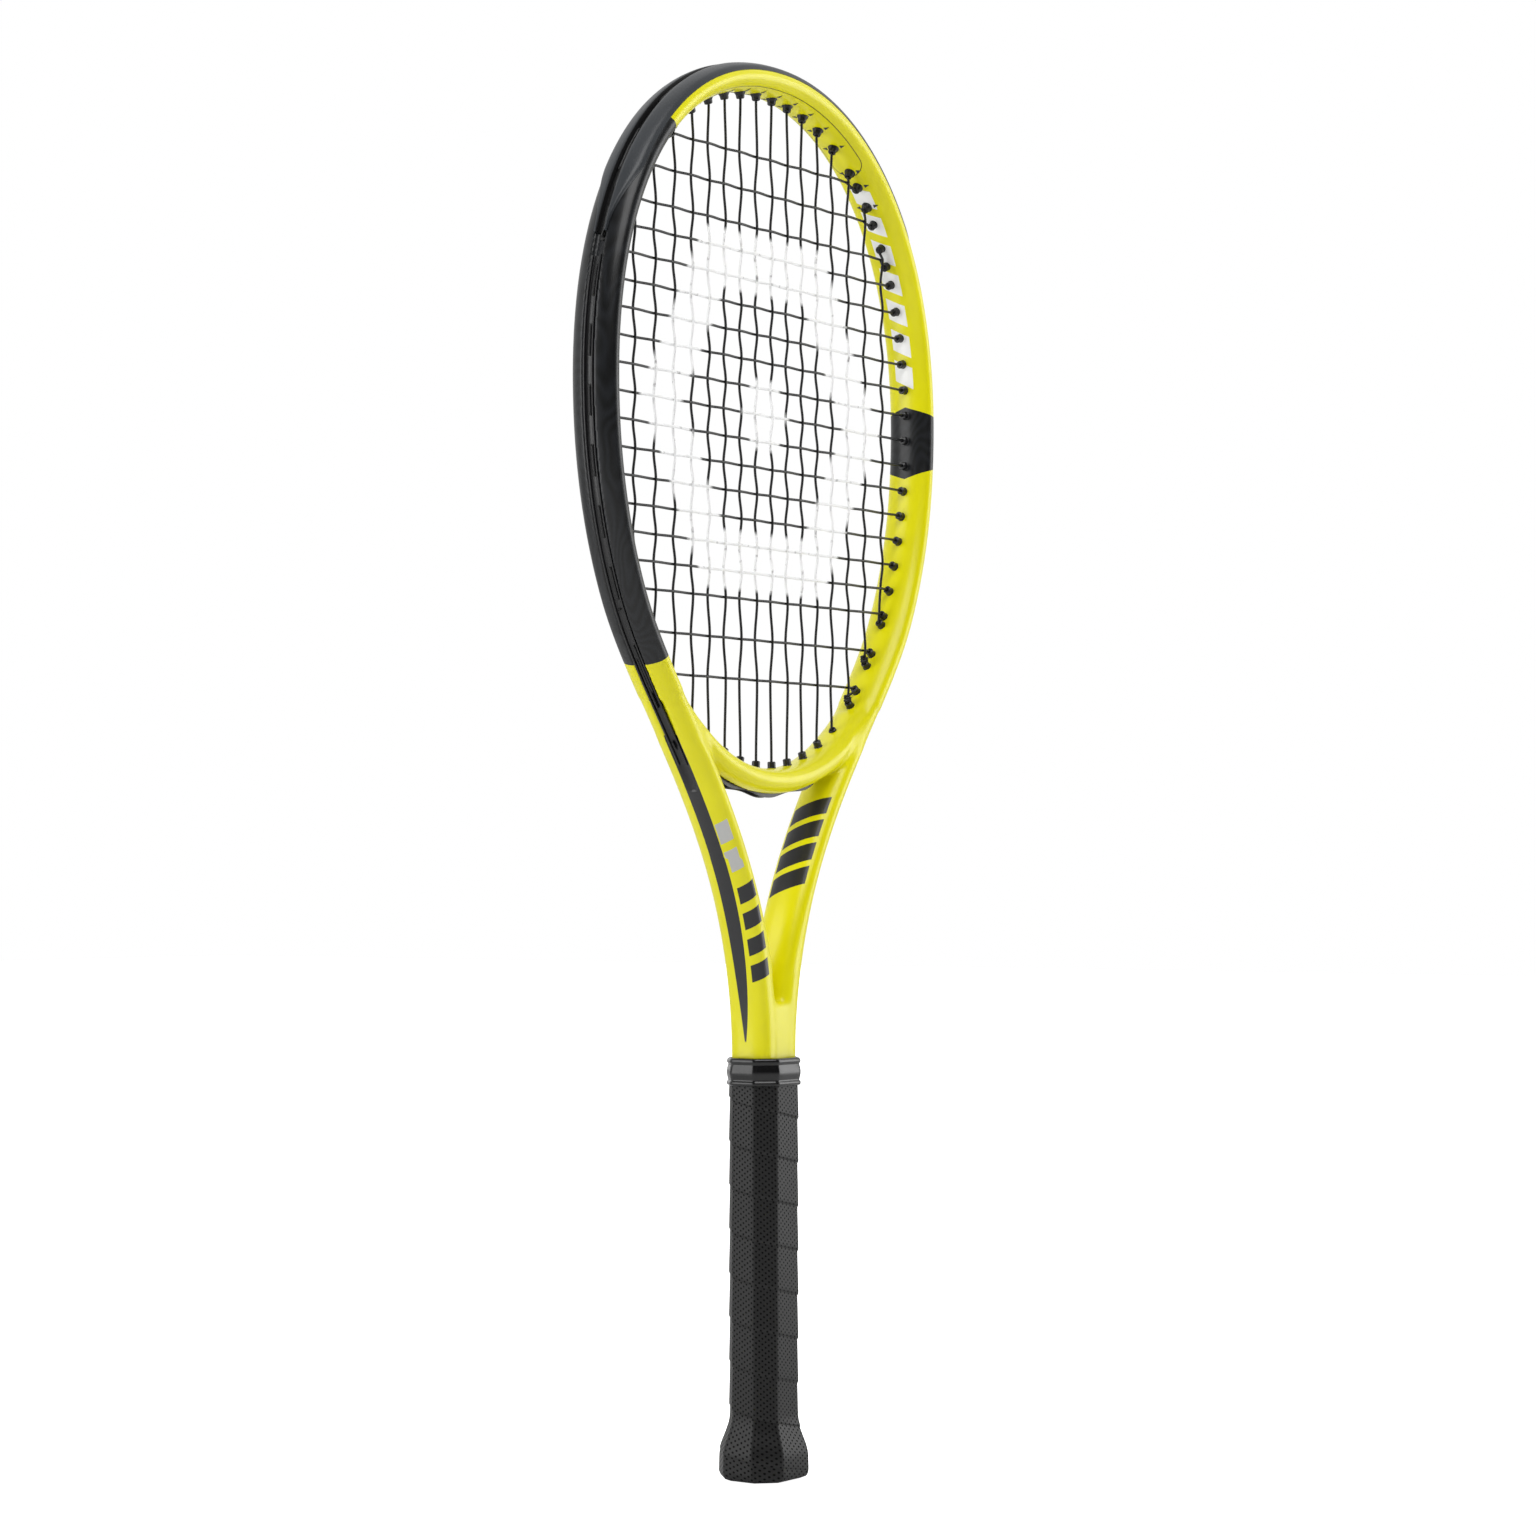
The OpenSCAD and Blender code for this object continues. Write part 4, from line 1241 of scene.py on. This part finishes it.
def whole_path(runs, first_ends, second_ends, y):
    """Joins runs into one string that turns round in the groove at alternate ends."""
    path = []
    for k, run in enumerate(runs):
        path += run if k % 2 == 0 else run[::-1]
        ends = second_ends if k % 2 == 0 else first_ends
        if k + 1 < len(runs):
            path.append(in_groove((ends[k] + ends[k + 1]) / 2, y))
    return path


def eased(path, steps):
    """A finer path through the same points, which levels out in depth at each of them."""
    path = np.array(path)
    fine = []
    for a, b in zip(path[:-1], path[1:]):
        for k in range(steps):
            s = k / steps
            p = mix(a, b, s)
            p[1] = mix(a[1], b[1], 0.5 - 0.5 * math.cos(math.pi * s))
            fine.append(p)
    return np.array(fine + [path[-1]])


def tube(name, path, radius, sides):
    """A round tube along a path, with attributes for its length and the turn around it."""
    path = np.asarray(path, float)
    steps = np.diff(path, axis=0)
    lengths = np.linalg.norm(steps, axis=1)
    headings = steps / lengths[:, None]
    along = np.vstack([headings[:1], headings]) + np.vstack([headings, headings[-1:]])
    along /= np.linalg.norm(along, axis=1)[:, None]
    deep = np.array([0, 1, 0]) - along[:, 1:2] * along
    deep /= np.linalg.norm(deep, axis=1)[:, None]
    across = np.cross(along, deep)
    turns = circle(sides)
    rings = np.stack([path + radius * (math.cos(a) * deep + math.sin(a) * across) for a in turns], 1)
    piece = sweep(name, list(rings))
    run = np.concatenate([[0], np.cumsum(lengths)])
    add_attribute(piece.data, "length", np.repeat(run, sides) * MM)
    add_attribute(piece.data, "turn", np.tile(turns, len(path)))
    return fix_normals(piece)


def make_strings(material):
    mains = whole_path([main_run(i) for i in range(MAIN_COUNT)], MAIN_BOTTOM, MAIN_TOP, SIDE_BY_SIDE)
    crosses = whole_path([cross_run(j) for j in range(CROSS_COUNT)], CROSS_LEFT, CROSS_RIGHT, -SIDE_BY_SIDE)
    for name, path in (("main_strings", mains), ("cross_strings", crosses)):
        piece = tube(name + "_woven", eased(path, EASE_STEPS), STRING_D / 2, STRING_SIDES)
        finish_piece(piece, "racket", material, "string", name)


def make_knots(material):
    """Two tie-off knots: the string's end wound around the neighbouring main, with a short tail."""
    pieces = []
    for main, lean in KNOTS.items():
        foot = in_space(tip_point(MAIN_BOTTOM[main]))
        coil = []
        for s in np.linspace(0, 1, 60):
            a = s * KNOT_TURNS * 2 * math.pi
            radius = COIL_R + 0.12 * math.sin(3 * a)
            coil.append(foot + np.array([radius * math.cos(a), radius * math.sin(a), mix(*COIL_RISE, s)]))
        tail = [coil[-1] + unit(lean) * s + np.array([0, 0, 0.04 * s * s]) for s in np.linspace(*TAIL_RUN, 9)]
        loop = [foot + np.array([1.5 * math.cos(a), 1.1 * math.sin(a), 1.7 + 1.3 * math.sin(a + 0.7)])
                for a in np.linspace(0, 2 * math.pi, 40)]
        pieces.append(tube("knot", coil + tail, STRING_D / 2, KNOT_SIDES))
        pieces.append(tube("knot_loop", loop, STRING_D / 2, KNOT_SIDES))
    finish_piece(join("string_knots", pieces), "racket", material, "string", "tie_off_knots")


# ---- Handle ----


PER_CORNER = 5
PER_SIDE = 4
AROUND = 8 * (PER_CORNER + PER_SIDE)
GRIP_CORNER_R = 3.2
# Half width, half depth, and half of the faces across the depth and the width.
COLLAR_BORE = (15.7, 12.1, 11.7, 8.1)
BORE_CORNER_R = 2.0


def octagon(w, d, x, y):
    return np.array([[w, -y], [w, y], [x, d], [-x, d], [-w, y], [-w, -y], [-x, -d], [x, -d]])


def rounded_outline(corners, radius):
    """A closed outline whose corners are arcs of a radius, as points in order."""
    arcs = []
    for k, here in enumerate(corners):
        back = unit(corners[k - 1] - here)
        ahead = unit(corners[(k + 1) % len(corners)] - here)
        half = math.acos(float(np.dot(back, ahead))) / 2
        trim = radius / math.tan(half)
        middle = here + unit(back + ahead) * radius / math.sin(half)
        chord = [here + mix(back, ahead, s) * trim for s in np.linspace(0, 1, PER_CORNER)]
        arcs.append([middle + unit(p - middle) * radius for p in chord])
    points = []
    for k, arc in enumerate(arcs):
        following = arcs[(k + 1) % len(arcs)][0]
        points += arc + [mix(arc[-1], following, s) for s in np.linspace(0, 1, PER_SIDE + 2)[1:-1]]
    return np.array(points)


@functools.cache
def grip_outline(grow):
    """The grip's outline, grown outwards by a distance."""
    share = grow * math.tan(math.radians(22.5))
    corners = octagon(GRIP_W / 2 + grow, GRIP_D / 2 + grow, FACE_Y_HALF + share, FACE_X_HALF + share)
    return rounded_outline(corners, GRIP_CORNER_R)


def flare(z):
    """How far the butt end stands out at a height, with its bottom edge rounded."""
    drop = BUTT_EDGE_R - math.sqrt(BUTT_EDGE_R**2 - max(0.0, BUTT_EDGE_R - z) ** 2)
    return BUTT_GROW * float(1 - smooth_step((z - FLARE_Z[0]) / (FLARE_Z[1] - FLARE_Z[0]))) - drop


def grip_point(k, grow, z):
    """A point of the grip's outline, counted clockwise as seen from above."""
    p = grip_outline(round(grow, 3))[k % AROUND]
    return np.array([-p[0], p[1], z])


STRIP_LEVELS = 14
INNER_LEVELS = (1.0, 0.5, 0.0)
INNER_GAP = 0.25
# The strip laps over the turn below, and its lower edge is a rounded step, with painted shade darkening the
# seam.
WRAP_LAP = 0.35
WRAP_SINK = 0.42
STEP_OUT = 0.50
EDGE_ROUND = 0.36
EDGE_HEIGHT = 0.9
# Height over which the painted seam shade fades out above each turn's lower edge.
EDGE_SHADE_FADE = 0.7
RIPPLE = 0.05


def make_wrap(material):
    """The grip's strip, wound up the handle in one piece."""
    outline = grip_outline(0)
    sides = np.linalg.norm(np.diff(np.vstack([outline, outline[:1]]), axis=0), axis=1)
    arc = np.concatenate([[0], np.cumsum(sides)])
    perimeter = arc[-1]
    first = int(math.ceil(AROUND * (WRAP_BOTTOM + 0.3 - FIRST_TURN_Z) / WRAP_PITCH))
    last = int(AROUND * (1 + (GRIP_TOP - FIRST_TURN_Z) / WRAP_PITCH)) - 2
    points, run, rise, edge = [], [], [], []
    for k in range(first, last + 1):
        strip_at = (k // AROUND) * perimeter + arc[k % AROUND]
        start = FIRST_TURN_Z + (strip_at / perimeter - 1) * WRAP_PITCH
        low, high = max(start, WRAP_BOTTOM), min(start + WRAP_PITCH + WRAP_LAP, GRIP_TOP)
        has_edge = start > WRAP_BOTTOM
        for s in np.linspace(0, 1, STRIP_LEVELS):
            z = mix(low, high, s**1.6)
            above = z - low
            rounding = EDGE_ROUND * max(0.0, 1 - above / EDGE_HEIGHT) ** 2 if has_edge else 0.0
            step = STEP_OUT * (1 - min(1, above / WRAP_PITCH)) - rounding
            ripple = RIPPLE * math.sin(k * 0.37) * (1 - s)
            points.append(grip_point(k, flare(z) - WRAP_SINK + step + ripple, z))
            rise.append(z - start)
            # Painted shade: full at each turn's lower edge, fading out upwards.
            edge.append(max(0.0, 1 - above / EDGE_SHADE_FADE) if has_edge else 0.0)
        for level in INNER_LEVELS:
            z = mix(low, high, level)
            points.append(grip_point(k, flare(z) - WRAP_T + INNER_GAP, z))
            rise.append(z - start)
            # The strip's hidden underside is painted fully shaded.
            edge.append(1.0)
        run += [strip_at] * (STRIP_LEVELS + len(INNER_LEVELS))
    faces = swept_faces(last - first + 1, STRIP_LEVELS + len(INNER_LEVELS))
    piece = new_mesh("grip_wrap_strip", points, faces)
    add_attribute(piece.data, "strip_run", np.array(run) * MM)
    add_attribute(piece.data, "strip_rise", np.array(rise) * MM)
    add_attribute(piece.data, "strip_edge_shade", edge)
    sharp_edges(fix_normals(piece), 50)
    finish_piece(piece, "racket", material, "grip", "grip_wrap")


# Height and growth of the collar's outer side, from its bottom to its top: two beads and a swelling band.
COLLAR_RISE = (
    (0.0, 0.3), (0.15, 0.75), (0.6, 1.05), (1.3, 1.12), (1.9, 1.0), (2.3, 0.6), (2.6, 0.45), (3.2, 0.55),
    (4.4, 0.85), (5.8, 1.05), (7.2, 1.05), (8.6, 0.85), (9.8, 0.5), (10.3, 0.38), (10.7, 0.55),
    (11.1, 0.9), (11.8, 1.0), (12.6, 0.85), (13.1, 0.5), (13.4, 0.1),
)


def make_collar(material):
    """The rubber collar, lathed around the grip's outline."""
    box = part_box("grip_collar")
    bottom, top = box[0].z / MM, box[1].z / MM
    stretch = (top - bottom) / COLLAR_RISE[-1][0]
    rows = [(grip_outline(grow), bottom + rise * stretch) for rise, grow in COLLAR_RISE]
    hole = rounded_outline(octagon(*COLLAR_BORE), BORE_CORNER_R)
    rows += [(hole, top), (hole, bottom)]
    rings = [[(p[0], p[1], z) for p in outline] for outline, z in rows]
    piece = fix_normals(sweep("collar_rubber_ring", rings, closed_path=True))
    sharp_edges(piece, 60)
    finish_piece(piece, "collar", material, "collar_rubber", "grip_collar")


def dress(node, material, edge=0.0):
    """Gives a CAD node its material, and rounds its edges with a modifier, which leaves its mesh alone."""
    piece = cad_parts[node]
    piece.data.materials.clear()
    piece.data.materials.append(material)
    if edge:
        bevel = piece.modifiers.new("edge", "BEVEL")
        bevel.width = edge * MM
        bevel.segments = 2
        bevel.limit_method = "ANGLE"
        bevel.angle_limit = math.radians(35)


def dress_cad_nodes():
    """Materials of the CAD nodes that keep their shape: foam, tape, cap, lid and staples."""
    dress("handle_pallet", foam_material("handle_foam", srgb(196, 178, 140), srgb(212, 196, 160), 700))
    dress("leg_end_plugs", foam_material("plug_foam", srgb(60, 60, 62), srgb(84, 84, 86), 900))
    dress("grip_backing_tape", tape_material("backing_tape", srgb(225, 222, 212), srgb(238, 236, 228), 0.6))
    dress("grip_finishing_tape", tape_material("finishing_tape", srgb(24, 24, 24), srgb(34, 34, 34), 0.3))
    cap = plastic_material("cap_plastic", srgb(30, 30, 31), srgb(40, 40, 41), 0.38)
    steel = steel_material()
    dress("butt_cap", cap, 0.35)
    dress("butt_cap_door", cap, 0.25)
    dress("butt_cap_staples", steel, 0.12)
    dress("grip_start_staple", steel, 0.12)


# ---- Studio ----

CAMERA_TURN = math.radians(54.51)
CAMERA_DISTANCE = 1.7662
CAMERA_HEIGHT = 0.28925
LENS = 85.08
SHIFT = (0.0028, 0.0748)
FLOOR_LIFT = 1.0
AMBIENT = 0.06
BACKDROP_FADE = (-0.25, 0.5)
FLOOR_HALF = 9000
FLOOR_Z = -0.4
LIGHT_AIM = (0, 0, 0.38)
# Name, bearing in degrees, height and distance in metres, size in metres and power in watts.
SOFT_BOXES = (
    ("left_box", -72, 0.70, 1.9, (0.8, 1.5), 15),
    ("right_box", 104, 0.70, 1.9, (0.8, 1.5), 15),
    ("top_box", 8, 2.1, 1.25, (1.4, 1.4), 31),
)


def floor_material():
    """Pale floor, lifted to the white of the backdrop where the camera sees it."""
    nodes = Nodes("studio_floor")
    seen = nodes.add("ShaderNodeLightPath").outputs["Is Camera Ray"]
    pale = nodes.blend(nodes.noise(3, 2), (0.90, 0.90, 0.90, 1), (0.93, 0.93, 0.93, 1))
    return nodes.set(Base_Color=pale, Roughness=0.9, Emission_Color=(1, 1, 1, 1),
                     Emission_Strength=nodes.math("MULTIPLY", seen, FLOOR_LIFT))


def look_at(thing, place_at, target):
    thing.location = place_at
    thing.rotation_euler = (Vector(target) - Vector(place_at)).to_track_quat("-Z", "Y").to_euler()


def make_camera():
    data = bpy.data.cameras.new("camera")
    data.lens = LENS
    data.sensor_width = 36
    data.shift_x, data.shift_y = SHIFT
    camera = bpy.data.objects.new("camera", data)
    bpy.context.scene.collection.objects.link(camera)
    at = Vector((-math.sin(CAMERA_TURN), -math.cos(CAMERA_TURN), 0)) * CAMERA_DISTANCE
    at.z = CAMERA_HEIGHT
    look_at(camera, at, (0, 0, CAMERA_HEIGHT))
    bpy.context.scene.camera = camera


def make_light(name, turn, height, distance, size, power):
    """A soft box at a bearing from the camera's line of sight: positive is to the camera's right."""
    data = bpy.data.lights.new(name, "AREA")
    data.shape = "RECTANGLE"
    data.size, data.size_y = size
    data.energy = power
    light = bpy.data.objects.new(name, data)
    bpy.context.scene.collection.objects.link(light)
    bearing = CAMERA_TURN - math.radians(turn) + math.pi
    at = (math.sin(bearing) * distance, math.cos(bearing) * distance, height)
    look_at(light, at, LIGHT_AIM)


def make_floor():
    corners = [(x * FLOOR_HALF, y * FLOOR_HALF, FLOOR_Z) for x, y in ((-1, -1), (1, -1), (1, 1), (-1, 1))]
    floor = new_mesh("studio_floor", corners, [(0, 1, 2, 3)])
    floor.data.materials.append(floor_material())


def make_world():
    """White where the camera sees it, and a dim room that brightens behind the racket."""
    world = bpy.data.worlds.new("studio")
    world.use_nodes = True
    bpy.context.scene.world = world
    tree = world.node_tree
    heading = tree.nodes.new("ShaderNodeVectorMath")
    heading.operation = "DOT_PRODUCT"
    tree.links.new(tree.nodes.new("ShaderNodeTexCoord").outputs["Generated"], heading.inputs[0])
    heading.inputs[1].default_value = (math.sin(CAMERA_TURN), math.cos(CAMERA_TURN), 0)
    backdrop = tree.nodes.new("ShaderNodeMapRange")
    tree.links.new(heading.outputs["Value"], backdrop.inputs["Value"])
    backdrop.inputs["From Min"].default_value = BACKDROP_FADE[0]
    backdrop.inputs["From Max"].default_value = BACKDROP_FADE[1]
    backdrop.inputs["To Min"].default_value = AMBIENT
    strength = tree.nodes.new("ShaderNodeMath")
    strength.operation = "MAXIMUM"
    seen = tree.nodes.new("ShaderNodeLightPath").outputs["Is Camera Ray"]
    tree.links.new(seen, strength.inputs[0])
    tree.links.new(backdrop.outputs["Result"], strength.inputs[1])
    background = tree.nodes["Background"]
    background.inputs["Color"].default_value = (1, 1, 1, 1)
    tree.links.new(strength.outputs[0], background.inputs["Strength"])


make_camera()
make_floor()
make_world()
for soft_box in SOFT_BOXES:
    make_light(*soft_box)
bpy.context.scene.view_settings.view_transform = "Standard"

shell = make_shell()
finish_piece(shell, "racket", shell_material(), "frame_paint", "frame", "throat_bridge", "shaft_web")
grommet = plastic_material("grommet_nylon", srgb(16, 16, 17), srgb(26, 26, 28), 0.28, 0.45)
make_bumper(bumper_material())
make_side_strip(-1, "left", grommet)
make_side_strip(1, "right", grommet)
make_throat_strip(grommet)
strings = string_material()
make_strings(strings)
make_knots(strings)
make_wrap(grip_material())
make_collar(plastic_material("collar_rubber", srgb(10, 10, 11), srgb(16, 16, 17), 0.14, 0.42, 160, 0.0001))
dress_cad_nodes()
